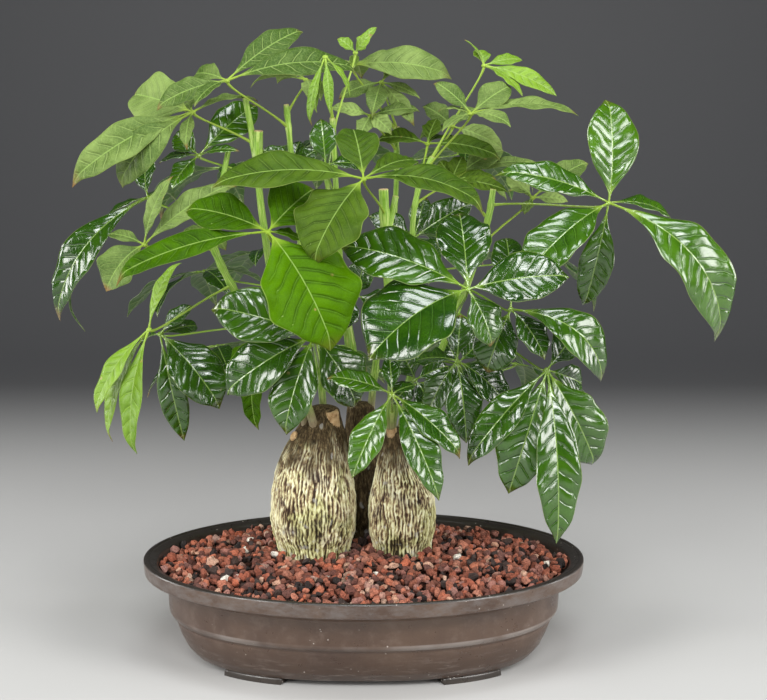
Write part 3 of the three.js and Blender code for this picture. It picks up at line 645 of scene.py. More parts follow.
# Each trunk's middle, and its heights, radii and bend: height, radius, shift along X and Y. Its stubs:
# start, reach along X, Y and Z, radius. Above bark_top the ridges fade into smoother, darker brown bark; on
# the back trunk it starts low, so that this dark bark is also painted shade between the trunks. The grid is
# the count of points round the trunk and up it.
Trunk = namedtuple("Trunk", "middle profile stubs bark_top grid")
TRUNKS = {
    "trunk_left": Trunk(middle=(-47, 30), profile=[
        (44, 33, 0, 0), (88, 34, 0, 0), (101, 37.6, 0, 0), (117, 39.6, 0, 0), (134, 39, 0, 0),
        (151, 36.4, 0, 0), (167, 32.6, 1, 0), (181, 28.5, 3, 0), (194, 23.5, 6, 0), (205, 18.5, 8, 0),
        (214, 15, 9, 0),
    ], stubs=[(-52, 27, 184, -13, -7, 9, 5), (-27, 24, 184, -3, -4, 32, 7)], bark_top=178, grid=(400, 230)),
    "trunk_right": Trunk(middle=(35, 30), profile=[
        (46, 26.5, 0, 0), (88, 27.4, 0, 0), (102, 30.2, 0, 0), (119, 31, 0, 0), (134, 29, 0, 0),
        (148, 25.6, -1, 0), (161, 21, -3, 0), (173, 17, -4, 0), (183, 15, -4, 0), (193, 13.5, -4, 0),
    ], stubs=[(28, 26, 180, -3, -6, 20, 5)], bark_top=172, grid=(330, 230)),
    # Its low bark_top darkens nearly all of it: painted shade for the gap between the trunks.
    "trunk_back": Trunk(middle=(-4, 94), profile=[
        (58, 24.5, 0, -2), (88, 26, 0, 0), (108, 30, 0, 0), (128, 29.5, 0, 0), (146, 26, 0, 0),
        (163, 21.5, 0, 0), (184, 16, 0, 0), (206, 13, 0, 0),
    ], stubs=[], bark_top=76, grid=(280, 200)),
}
HIDDEN_ROWS = 6  # of points, down in the bed
BARK_FOOT = 75  # from this height up the rows lie close together
BARK_RISE = (68, 80)  # heights between which the ridges grow to their full depth
WIDEST = 3  # the row of the profile that tells how many ridges go round
RIDGE_PITCH = 3.7  # millimetres across from ridge to ridge, about
RIDGE_GRAIN = (4.4, 4.4, 22)  # of the net of ridges among them, across and along
RIDGE_DEPTH = 2.0
RIDGE_MIDDLE = 0.55  # the share of the ridges' height that lies on the plain trunk
OLD_SMOOTHING = 0.55  # how much lower the ridges are above bark_top
RIDGE_SWAY = ((6.5, (14, 14, 32), 0), (3.4, (5, 5, 13), 1), (1.3, (2.4, 2.4, 6), 7))  # radians, grain, seed
LUMP_HEIGHT = 0.9
LUMP_GRAIN = 17
TOP_STEPS = 9
TOP_SHARE = 0.97  # how far a trunk's dome runs in before it is closed
DOME_HEIGHT = 6
# A stub's length, radius and dark rim from its root to its cut end, as shares.
STUB_SHAPE = np.array([
    (0, 1.25, 0.9), (0.25, 1.08, 0.6), (0.5, 1.0, 0.3), (0.75, 0.98, 0.25), (0.93, 1.0, 0.4), (1.0, 0.9, 0.8),
])
STUB_SIDES = 18
STUB_GRAIN = 3.5
STUB_ROUGHNESS = 0.09
CUT_SHARE = 0.55  # the cut face's flat middle, which is dished by CUT_DISH
CUT_DISH = 0.5
CORK_COLOURS = [
    (0.00, (0.050, 0.030, 0.019)), (0.16, (0.135, 0.085, 0.050)), (0.36, (0.30, 0.215, 0.120)),
    (0.58, (0.56, 0.485, 0.27)), (0.80, (0.80, 0.755, 0.46)), (1.0, (0.92, 0.90, 0.66)),
]
GREY_CORK_COLOURS = [(0.1, (0.045, 0.036, 0.036)), (0.9, (0.50, 0.45, 0.38))]
MOSS_COLOURS = [(0.1, (0.03, 0.03, 0.008)), (0.6, (0.33, 0.35, 0.10)), (1.0, (0.60, 0.62, 0.25))]
OLD_BARK_AND_SHADE_COLOURS = [(0.32, (0.018, 0.012, 0.006)), (0.5, (0.070, 0.047, 0.021)), (0.68, (0.23, 0.165, 0.08))]
BARK_SPOT = (0.50, 0.49, 0.46)
CUT_COLOURS = [(0.3, (0.30, 0.17, 0.075)), (0.5, (0.58, 0.38, 0.19)), (0.72, (0.74, 0.56, 0.33))]
CUT_RIM = (0.24, 0.14, 0.07)


def bark_values(points, angles, radius, seed, bark_top):
    """How high the bark stands at each point, from 0 to 1, and its moss, age and spots; on the back trunk the
    age's dark bark is painted shade.
    """
    sway = sum(size * noise(points / grain, seed + own) for size, grain, own in RIDGE_SWAY)
    stripes = np.cos(round(2 * math.pi * radius / RIDGE_PITCH) * angles + sway)
    bend = 1.6 * noise(points / (8, 8, 15), seed + 3)
    net = smooth_step(0.26, 0.02, np.abs(noise((points + bend[:, None] * (1, 1, 0)) / RIDGE_GRAIN, seed + 9)))
    crumble = layered(points / (1.5, 1.5, 4), seed + 2)
    breaks = smooth_step(0.25, 0.6, noise(points / (3.6, 3.6, 8), seed + 4))
    web = 0.58 * stripes + 0.85 * net - 0.25 + 0.75 * crumble - 0.45 * breaks
    height = smooth_step(-1.3, 1.25, web)
    level = points[:, 2]
    patches = layered(points / (30, 30, 26), seed + 5)
    low = smooth_step(150, 92, level)
    moss = np.clip(smooth_step(-0.05, 0.6, patches + 0.55 * low - 0.15), 0, 1)
    aged_and_shaded = smooth_step(bark_top - 24, bark_top + 14, level + 22 * noise(points / (7, 7, 26), seed + 6))
    spots = smooth_step(0.34, 0.52, noise(points / 6.5, seed + 8) - 0.25 * smooth_step(84, 150, level))
    return height, moss, aged_and_shaded, spots


def trunk_surface(trunk, levels, angles):
    """Points of the plain trunk at each level and angle, and the way out from its middle."""
    profile = trunk.profile
    radius, shift_x, shift_y = (smooth_line([(row[0], row[k]) for row in profile], levels) for k in (1, 2, 3))
    out = np.stack([np.cos(angles), np.sin(angles), np.zeros(len(angles))], axis=-1)
    middle = np.stack([trunk.middle[0] + shift_x, trunk.middle[1] + shift_y, levels], axis=-1)
    return middle[:, None] + radius[:, None, None] * out, np.broadcast_to(out, (len(levels), len(angles), 3))


def bark_paint():
    paint = Paint("bark")
    height, moss, aged_and_shaded, spots = paint.value("bark")
    fleck = paint.grain(1, 5, 0.7, at=paint.place((420, 420, 130)))
    blotch = paint.grain(48, 3)
    raised = paint.plus(height, paint.times(paint.minus(fleck, 0.5), 0.55))
    patch = paint.grain(1, 3, 0.6, at=paint.place((75, 75, 34)))
    worn = paint.minus(raised, paint.step(patch, 0.52, 0.70, 0, 0.4))
    cork = paint.ramp(worn, CORK_COLOURS)
    grey = paint.mix(paint.step(blotch, 0.50, 0.72, 0, 0.55), cork, paint.ramp(worn, GREY_CORK_COLOURS))
    greened = paint.mix(paint.times(moss, 0.5), grey, paint.ramp(worn, MOSS_COLOURS))
    old = paint.mix(aged_and_shaded, greened, paint.ramp(fleck, OLD_BARK_AND_SHADE_COLOURS))
    colour = paint.mix(paint.times(spots, 0.55), old, BARK_SPOT)
    paint.set(Base_Color=colour, Roughness=0.88, Specular_IOR_Level=0.22)
    paint.set(Normal=paint.bump(fleck, 0.55, 0.0012))
    return paint.material


def cut_paint():
    """Fresh or healed wood of cut shoots, with a darker rim."""
    paint = Paint("cut_wood")
    _, _, rim, _ = paint.value("stem")
    fibre = paint.grain(260, 4, 0.65)
    colour = paint.mix(paint.times(rim, 0.28), paint.ramp(fibre, CUT_COLOURS), CUT_RIM)
    paint.set(Base_Color=colour, Roughness=0.8, Specular_IOR_Level=0.25)
    paint.set(Normal=paint.bump(fibre, 0.4, 0.0008))
    return paint.material


def add_stub(skin, start, reach, radius, seed):
    """A short cut-back side shoot: a flared root, a slightly swollen end and a dished cut face."""
    steps, widths, rim = STUB_SHAPE.T
    line = np.asarray(start, float) + np.outer(steps, reach)
    rings = tube(line, radius * widths, STUB_SIDES)
    rough = noise(rings.reshape(-1, 3) / STUB_GRAIN, seed).reshape(rings.shape[:2])
    rings = line[:, None] + (rings - line[:, None]) * (1 + STUB_ROUGHNESS * rough[..., None])
    face = line[-1] + (rings[-1] - line[-1]) * CUT_SHARE - unit(reach) * CUT_DISH
    rings = np.concatenate([rings, face[None]])
    rim = np.append(rim, 0)
    marks = np.stack([rim * 0, rim * 0, rim], axis=-1)[:, None]
    skin.add_loft(rings, {"stem": marks})


def bark_skin(trunk, seed):
    """A trunk with its bark's ridges and lumps, closed at its top by a low dome."""
    sides, rows = trunk.grid
    bottom, top = trunk.profile[0][0], trunk.profile[-1][0]
    hidden = np.linspace(bottom, BARK_FOOT - 1, HIDDEN_ROWS)
    levels = np.concatenate([hidden, np.linspace(BARK_FOOT, top, rows)])
    angles = whole_turn(sides)
    plain, out = trunk_surface(trunk, levels, angles)
    flat = plain.reshape(-1, 3)
    round_angles = np.tile(angles, len(levels))
    radius = trunk.profile[WIDEST][1]
    height, moss, aged_and_shaded, spots = bark_values(flat, round_angles, radius, seed, trunk.bark_top)
    lumps = layered(flat / LUMP_GRAIN, seed + 9, 2)
    depth = RIDGE_DEPTH * (1 - OLD_SMOOTHING * aged_and_shaded)
    rise = smooth_step(*BARK_RISE, flat[:, 2]) * ((height - RIDGE_MIDDLE) * depth + LUMP_HEIGHT * lumps)
    rings = (flat + out.reshape(-1, 3) * rise[:, None]).reshape(plain.shape)
    crown = dome(rings[-1], TOP_STEPS)
    values = np.stack([height, moss, aged_and_shaded, spots], axis=-1).reshape(*plain.shape[:2], 4)
    values = np.concatenate([values, np.broadcast_to(values[-1], (len(crown), sides, 4))])
    skin = Skin()
    skin.add_loft(np.concatenate([rings, crown]), {"bark": values})
    return skin


def make_trunks(bark, cut):
    for order, (name, trunk) in enumerate(TRUNKS.items()):
        make_piece(name + "_bark", bark_skin(trunk, SEED + 40 * order), bark, [name])
        if trunk.stubs:
            ends = Skin()
            for x, y, z, dx, dy, dz, radius in trunk.stubs:
                add_stub(ends, (x, y, z), (dx, dy, dz), radius, SEED + z)
            make_piece(name + "_cut_ends", ends, cut)


def dome(ring, steps):
    """Rings that close a trunk's top in a low dome of the ring's own outline."""
    centre = ring.mean(0)
    share = np.linspace(0, TOP_SHARE, steps)[1:]
    return np.array([centre + (ring - centre) * math.sqrt(1 - a * a) + (0, 0, DOME_HEIGHT * a)
                     for a in share])


# ---------------------------------------------------------------- bed of broken lava rock

BED_EDGE_HEIGHT = 80.5
BED_MOUND = 5
BED_INSET = 14.9
BED_DRAWN_IN = 5.5  # how far the bed under the stones stays off the pot's wall
BED_WALL = [(8, 52, 2.4), (13.4, 42.7, 2.35), (38.2, 31.7, 2.2), (70, 26.3, 2.05), (72.2, 24.4, 2)]
BED_BELOW = 8  # the dark bed lies this far under the stones' mean top
BED_GRID = 13
BED_RELIEF = 3
BED_SIDES = 144
BED_ROWS = 40
STONE_PITCH = 7.2
STONE_SIZES = (2.6, 5.3)  # half sizes, small and large
STONE_LAYERS = ((-6.4, 0.0), (-0.6, 0.5))  # each layer's height over the bed's level, and its shift
STONE_ROWS = 30  # to each side of the middle, more than fit in
STONE_COLUMNS = 40
STONE_ROW_PITCH = 0.87  # of the pitch in a row
STONE_JITTER = 0.42  # of the pitch, either way
STONE_KINDS = 14
STONE_DETAIL = 2
STONE_CUTS = 11
STONE_CUT_DEPTHS = (0.42, 0.80)  # from the middle, of the half size
STONE_ROUGHNESS = 0.20
STONE_STRETCH = (0.85, 1.35)
SUNK_DEPTH = 7  # from here on down a stone is as dark as it gets
PIECE_FACES = 190000
# The pot's inner wall, which the stones stay inside: heights, and how far in from the rim's outline.
POT_WALL_HEIGHTS = (70, 78.5, 84.5)
POT_WALL_INSETS = (25.6, 14.2, 12.5)
# Each kind of stone from a share of the draw upwards, and its colour.
STONE_COLOURS = [
    (0.00, (0.340, 0.120, 0.076)), (0.15, (0.450, 0.190, 0.128)), (0.29, (0.240, 0.092, 0.062)),
    (0.42, (0.480, 0.165, 0.096)), (0.51, (0.350, 0.175, 0.145)), (0.62, (0.150, 0.068, 0.055)),
    (0.77, (0.056, 0.042, 0.038)), (0.86, (0.026, 0.023, 0.023)), (0.915, (0.600, 0.390, 0.290)),
    (0.972, (0.450, 0.280, 0.230)), (0.990, (0.880, 0.840, 0.750)),
]


def mound_height(x, y):
    """The bed's even mound, from its edge up to its middle."""
    share = (x / (RIM_HALF_LENGTH - BED_INSET)) ** 2 + (y / (RIM_HALF_DEPTH - BED_INSET)) ** 2
    return BED_EDGE_HEIGHT + BED_MOUND * (1 - np.minimum(share, 1))


def bed_rises():
    """How far the bed's grid points stand over the mound, drawn as in the part's source."""
    draw = make_draw(SEED)
    columns = math.ceil(RIM_HALF_LENGTH * 2 / BED_GRID)
    rows = math.ceil(RIM_HALF_DEPTH * 2 / BED_GRID)
    rises = np.zeros((rows + 1, columns + 1))
    for r in range(rows + 1):
        for c in range(columns + 1):
            for inside in (0 < c < columns, 0 < r < rows):
                if inside:
                    draw()
            rises[r, c] = (draw() * 2 - 1) * BED_RELIEF
    return rises


BED_RISES = bed_rises()


def bed_height(x, y):
    """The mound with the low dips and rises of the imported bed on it."""
    rows, columns = BED_RISES.shape
    u = np.clip(np.asarray(x) / BED_GRID + (columns - 1) / 2, 0, columns - 1.001)
    v = np.clip(np.asarray(y) / BED_GRID + (rows - 1) / 2, 0, rows - 1.001)
    c = np.floor(u).astype(int)
    r = np.floor(v).astype(int)
    a = u - c
    b = v - r
    rise = ((1 - a) * (1 - b) * BED_RISES[r, c] + a * (1 - b) * BED_RISES[r, c + 1]
            + (1 - a) * b * BED_RISES[r + 1, c] + a * b * BED_RISES[r + 1, c + 1])
    return mound_height(x, y) + rise


def soil_and_gap_shade_paint():
    paint = Paint("bed_soil")
    grain = paint.grain(160, 5, 0.7)
    # Dark soil, made near black so that the gaps between the stones also carry painted shade.
    colour = paint.ramp(grain, [(0.3, (0.006, 0.004, 0.003)), (0.7, (0.035, 0.016, 0.011))])
    paint.set(Base_Color=colour, Roughness=0.95, Specular_IOR_Level=0.15)
    paint.set(Normal=paint.bump(grain, 0.8, 0.003))
    return paint.material


def stone_paint():
    paint = Paint("lava_stone")
    kind, shade, sunk, _ = paint.value("stone")
    pores = paint.cells(900)
    grit = paint.grain(520, 4, 0.7)
    stone = paint.ramp(kind, STONE_COLOURS, "CONSTANT")
    lit = paint.mix(paint.step(shade, 0.0, 1.0, 0, 0.5), stone, (0.60, 0.40, 0.32), "OVERLAY")
    gritty = paint.mix(paint.step(grit, 0.35, 0.58, 0.5, 0), lit, (0.030, 0.014, 0.010))
    pale = paint.mix(paint.step(grit, 0.62, 0.76, 0, 0.35), gritty, (0.66, 0.42, 0.33))
    shadowed = paint.mix(paint.step(sunk, 0.12, 0.8, 0, 0.85), pale, (0.016, 0.009, 0.007))
    paint.set(Base_Color=shadowed, Roughness=0.9, Specular_IOR_Level=0.28)
    rough = paint.plus(pores, paint.times(grit, 0.9))
    paint.set(Normal=paint.bump(rough, 0.7, 0.0009))
    return paint.material


def stone_shapes(rng, count, detail):
    """Broken, angular stones of about unit half size: a ball cut flat on random sides and roughened."""
    ball = bpy.data.meshes.new("ball")
    made = bmesh.new()
    bmesh.ops.create_icosphere(made, subdivisions=detail, radius=1)
    made.to_mesh(ball)
    made.free()
    corners = np.array([v.co for v in ball.vertices])
    faces = np.array([p.vertices for p in ball.polygons])
    bpy.data.meshes.remove(ball)
    shapes = []
    for k in range(count):
        shape = corners.copy()
        for cut in unit(rng.normal(size=(STONE_CUTS, 3))):
            depth = rng.uniform(*STONE_CUT_DEPTHS)
            over = np.maximum(shape @ cut - depth, 0)
            shape -= over[:, None] * cut
        shape *= 1 + STONE_ROUGHNESS * noise(shape * 1.7 + 9 * k, 70 + k)[:, None]
        shape *= rng.uniform(*STONE_STRETCH, 3)
        shapes.append(shape)
    return shapes, faces


def turns(rng, count):
    """Random turns, as an array of count matrices."""
    q = unit(rng.normal(size=(count, 4)))
    w, x, y, z = q.T
    return np.stack([
        np.stack([1 - 2 * (y * y + z * z), 2 * (x * y - z * w), 2 * (x * z + y * w)], -1),
        np.stack([2 * (x * y + z * w), 1 - 2 * (x * x + z * z), 2 * (y * z - x * w)], -1),
        np.stack([2 * (x * z - y * w), 2 * (y * z + x * w), 1 - 2 * (x * x + y * y)], -1),
    ], 1)


def stone_places(rng):
    """Places of all stones: a jittered honeycomb in layers, kept off the pot and the trunks."""
    places = []
    for level, shift in STONE_LAYERS:
        for row in range(-STONE_ROWS, STONE_ROWS + 1):
            y = (row + shift) * STONE_PITCH * STONE_ROW_PITCH
            for column in range(-STONE_COLUMNS, STONE_COLUMNS + 1):
                x = (column + 0.5 * (row % 2) + shift) * STONE_PITCH
                jitter = rng.uniform(-STONE_JITTER, STONE_JITTER, 3) * STONE_PITCH
                size = STONE_SIZES[0] + (STONE_SIZES[1] - STONE_SIZES[0]) * rng.random() ** 1.5
                at = np.array([x + jitter[0], y + jitter[1], 0])
                at[2] = bed_height(at[0], at[1]) + level + jitter[2] * 0.6 - 0.25 * (size - STONE_SIZES[0])
                inset = np.interp(at[2] - 0.5 * size, POT_WALL_HEIGHTS, POT_WALL_INSETS) + 0.5 * size
                edge = (at[0] / (RIM_HALF_LENGTH - inset)) ** 2 + (at[1] / (RIM_HALF_DEPTH - inset)) ** 2
                if edge > 1 or near_trunk(at, size):
                    continue
                places.append((at, size))
    return places


def near_trunk(at, size):
    """Whether a stone at this place would lie inside a trunk."""
    for trunk in TRUNKS.values():
        radius = trunk.profile[1][1] + 0.5
        if np.hypot(at[0] - trunk.middle[0], at[1] - trunk.middle[1]) < radius + size * 0.45:
            return True
    return False


def make_bed():
    angles = whole_turn(BED_SIDES)
    rings = [at_height(*oval(inset, square, angles), height) for height, inset, square in BED_WALL]
    for share in np.linspace(1, 0.03, BED_ROWS)[1:]:
        x = (RIM_HALF_LENGTH - BED_INSET - BED_DRAWN_IN) * share * np.cos(angles)
        y = (RIM_HALF_DEPTH - BED_INSET - BED_DRAWN_IN) * share * np.sin(angles)
        rough = noise(np.stack([x, y, x * 0], -1) / 6, 31)
        rings.append(np.stack([x, y, bed_height(x, y) - BED_BELOW + 0.8 * rough], axis=-1))
    skin = Skin()
    skin.add_loft(np.array(rings), {})
    make_piece("bed_soil", skin, soil_and_gap_shade_paint(), ["gravel_bed"])
    rng = np.random.default_rng(SEED)
    shapes, faces = stone_shapes(rng, STONE_KINDS, STONE_DETAIL)
    places = stone_places(rng)
    paint = stone_paint()
    spins = turns(rng, len(places))
    shares = np.array_split(np.arange(len(places)), 1 + len(places) * len(faces) // PIECE_FACES)
    for number, chosen in enumerate(shares, 1):
        stones = Skin()
        for k in chosen:
            at, size = places[k]
            shape = shapes[rng.integers(len(shapes))] @ spins[k].T * size + at
            sunk = np.clip((bed_height(at[0], at[1]) - at[2]) / SUNK_DEPTH, 0, 1)
            marks = [rng.random(), rng.random(), sunk]
            stones.add(shape, faces, {"stone": [marks]})
        make_piece(f"lava_stones_{number}", stones, paint, smooth=False)


# ---------------------------------------------------------------- green shoots

# Each shoot's radii at its root and top, the points that it passes, and its cut side shoots: height on
# the shoot, reach along X, Y and Z, radius.
Shoot = namedtuple("Shoot", "radii path stubs")
SHOOTS = {
    "shoot_left_a": Shoot((4.4, 2.6), [
        (-51, 24, 192), (-62, 18, 250), (-79, 12, 320), (-89, 6, 390), (-95, 0, 450), (-102, -6, 497),
    ], [(432, 2, -6, 36, 4.4)]),
    "shoot_left_b": Shoot((3.8, 3), [
        (-43, 17, 194), (-56, 6, 236), (-88, -4, 286), (-112, -12, 327), (-128, -16, 361),
        (-138, -18, 392),
    ], [(374, 15, 12, 78, 2.6)]),
    "shoot_left_c": Shoot((3.6, 2.4), [
        (-36, 34, 194), (-42, 38, 260), (-54, 32, 340), (-62, 24, 420), (-68, 14, 492),
    ], []),
    "shoot_back_a": Shoot((3.6, 2.2), [
        (-10, 90, 190), (-14, 80, 250), (-21, 58, 330), (-24, 32, 400), (-27, 8, 480),
    ], []),
    "shoot_back_b": Shoot((3.6, 2.2), [
        (4, 93, 190), (12, 94, 260), (24, 90, 340), (30, 82, 420), (30, 74, 474),
    ], [(300, 12, 8, 60, 2.6)]),
    "shoot_back_c": Shoot((3.4, 2.2), [
        (-5, 102, 188), (-12, 118, 260), (-26, 128, 340), (-38, 130, 430),
    ], []),
    "shoot_right_a": Shoot((4.6, 4.2), [
        (25, 25, 180), (26, 16, 240), (24, 4, 310), (20, -4, 370), (18, -8, 418),
    ], [(372, 9, 3, 40, 3)]),
    "shoot_right_b": Shoot((3.4, 2.2), [
        (30, 37, 180), (42, 36, 240), (46, 30, 320), (44, 24, 380), (50, 24, 420), (62, 26, 446),
    ], []),
    "shoot_right_c": Shoot((3.6, 2.6), [
        (37, 25, 178), (54, 17, 230), (76, 6, 290), (98, -4, 350), (110, -8, 393), (114, -8, 418),
    ], []),
}
SHOOT_SIDES = 18
SHOOT_ROWS = 110
KNOT_SWELLING = 0.22
KNOT_REACH = 4.5
ROOT_FLARE = 0.5
ROOT_REACH = 6
WOODY_LENGTH = 26  # how far up a shoot is brown and woody
WOODY_FADE = 14
STEM_GRAIN = (5, 5, 22)
STEM_ROUGHNESS = 0.05
GREEN_COLOURS = [(0.30, (0.065, 0.150, 0.012)), (0.5, (0.200, 0.370, 0.030)), (0.66, (0.50, 0.62, 0.18))]
WOODY_COLOURS = [(0.3, (0.13, 0.085, 0.045)), (0.6, (0.36, 0.29, 0.17))]
SHOOT_MOTTLE = (0.42, 0.45, 0.25)
SHOOT_CUT_COLOURS = [(0.3, (0.34, 0.20, 0.09)), (0.7, (0.74, 0.56, 0.33))]


def shoot_point(name, height):
    """The point on a shoot's middle line at a height."""
    line = curve_through(SHOOTS[name].path, 241)
    return line[np.argmin(np.abs(line[:, 2] - height))]


def shoot_paint():
    paint = Paint("green_stem")
    around, along, cut, young = paint.value("stem")
    where = paint.node("ShaderNodeCombineXYZ")
    paint.put(where.inputs[0], paint.times(around, 2.2))
    paint.put(where.inputs[1], paint.times(along, 0.045))
    streak = paint.grain(1, 4, 0.6, at=where.outputs[0])
    mottle = paint.grain(90, 3)
    green = paint.ramp(streak, GREEN_COLOURS)
    woody = paint.ramp(streak, WOODY_COLOURS)
    lower = paint.mix(young, woody, green)
    patched = paint.mix(paint.step(mottle, 0.55, 0.75, 0, 0.35), lower, SHOOT_MOTTLE)
    fibre = paint.grain(300, 4, 0.65)
    tan = paint.ramp(fibre, SHOOT_CUT_COLOURS)
    paint.set(Base_Color=paint.mix(cut, patched, tan), Roughness=0.5, Specular_IOR_Level=0.4)
    paint.set(Normal=paint.bump(streak, 0.35, 0.0008))
    return paint.material


def add_stem(skin, line, radii, seed, swellings, woody_until):
    """A green stem with knots where leaves grow, and a cut, slightly dished end."""
    length = np.concatenate([[0], np.cumsum(np.linalg.norm(np.diff(line, axis=0), axis=1))])
    radius = np.interp(length, [0, length[-1]], radii)
    for height in swellings:
        radius = radius * (1 + KNOT_SWELLING * np.exp(-((line[:, 2] - height) / KNOT_REACH) ** 2))
    radius = radius * (1 + ROOT_FLARE * np.exp(-length / ROOT_REACH))
    rings = tube(line, radius, SHOOT_SIDES)
    flat = rings.reshape(-1, 3)
    uneven = 1 + STEM_ROUGHNESS * noise(flat / STEM_GRAIN, seed).reshape(rings.shape[:2])
    rings = line[:, None] + (rings - line[:, None]) * uneven[..., None]
    way = unit(line[-1] - line[-2])
    lip = line[-1] + (rings[-1] - line[-1]) * 0.92 + way * 0.25
    face = line[-1] + (rings[-1] - line[-1]) * 0.6 - way * 0.35
    rings = np.concatenate([rings, lip[None], face[None]])
    along = np.concatenate([length, [length[-1]] * 2])
    cut = np.concatenate([np.zeros(len(line) - 1), [0.35, 1, 1]])
    young = smooth_step(woody_until - WOODY_FADE, woody_until + WOODY_FADE, line[:, 2])
    young = np.concatenate([young, [1, 1]])
    around = np.sin(whole_turn(SHOOT_SIDES)) * 4
    marks = np.zeros((len(rings), SHOOT_SIDES, 4))
    marks[..., 0] = around
    for k, column in enumerate((along, cut, young), 1):
        marks[..., k] = column[:, None]
    skin.add_loft(rings, {"stem": marks})


def make_shoots():
    paint = shoot_paint()
    for order, (name, shoot) in enumerate(SHOOTS.items()):
        skin = Skin()
        knots = [leaf.height for leaf in LEAVES.values() if leaf.shoot == name]
        knots += [row[0] for row in shoot.stubs]
        line = curve_through(shoot.path, SHOOT_ROWS)
        add_stem(skin, line, shoot.radii, SEED + order, knots, line[0, 2] + WOODY_LENGTH)
        for z, dx, dy, dz, radius in shoot.stubs:
            start = shoot_point(name, z)
            side = start + np.outer(np.linspace(0, 1, 30), (dx, dy, dz))
            add_stem(skin, side, (radius * 1.05, radius * 0.92), SEED + order + 50, [], 0)
        make_piece(name + "_stem", skin, paint, [name])


# ---------------------------------------------------------------- leaves read from the front

BLADE_ARCH = 0.1  # how high a leaflet arches, as a share of its length
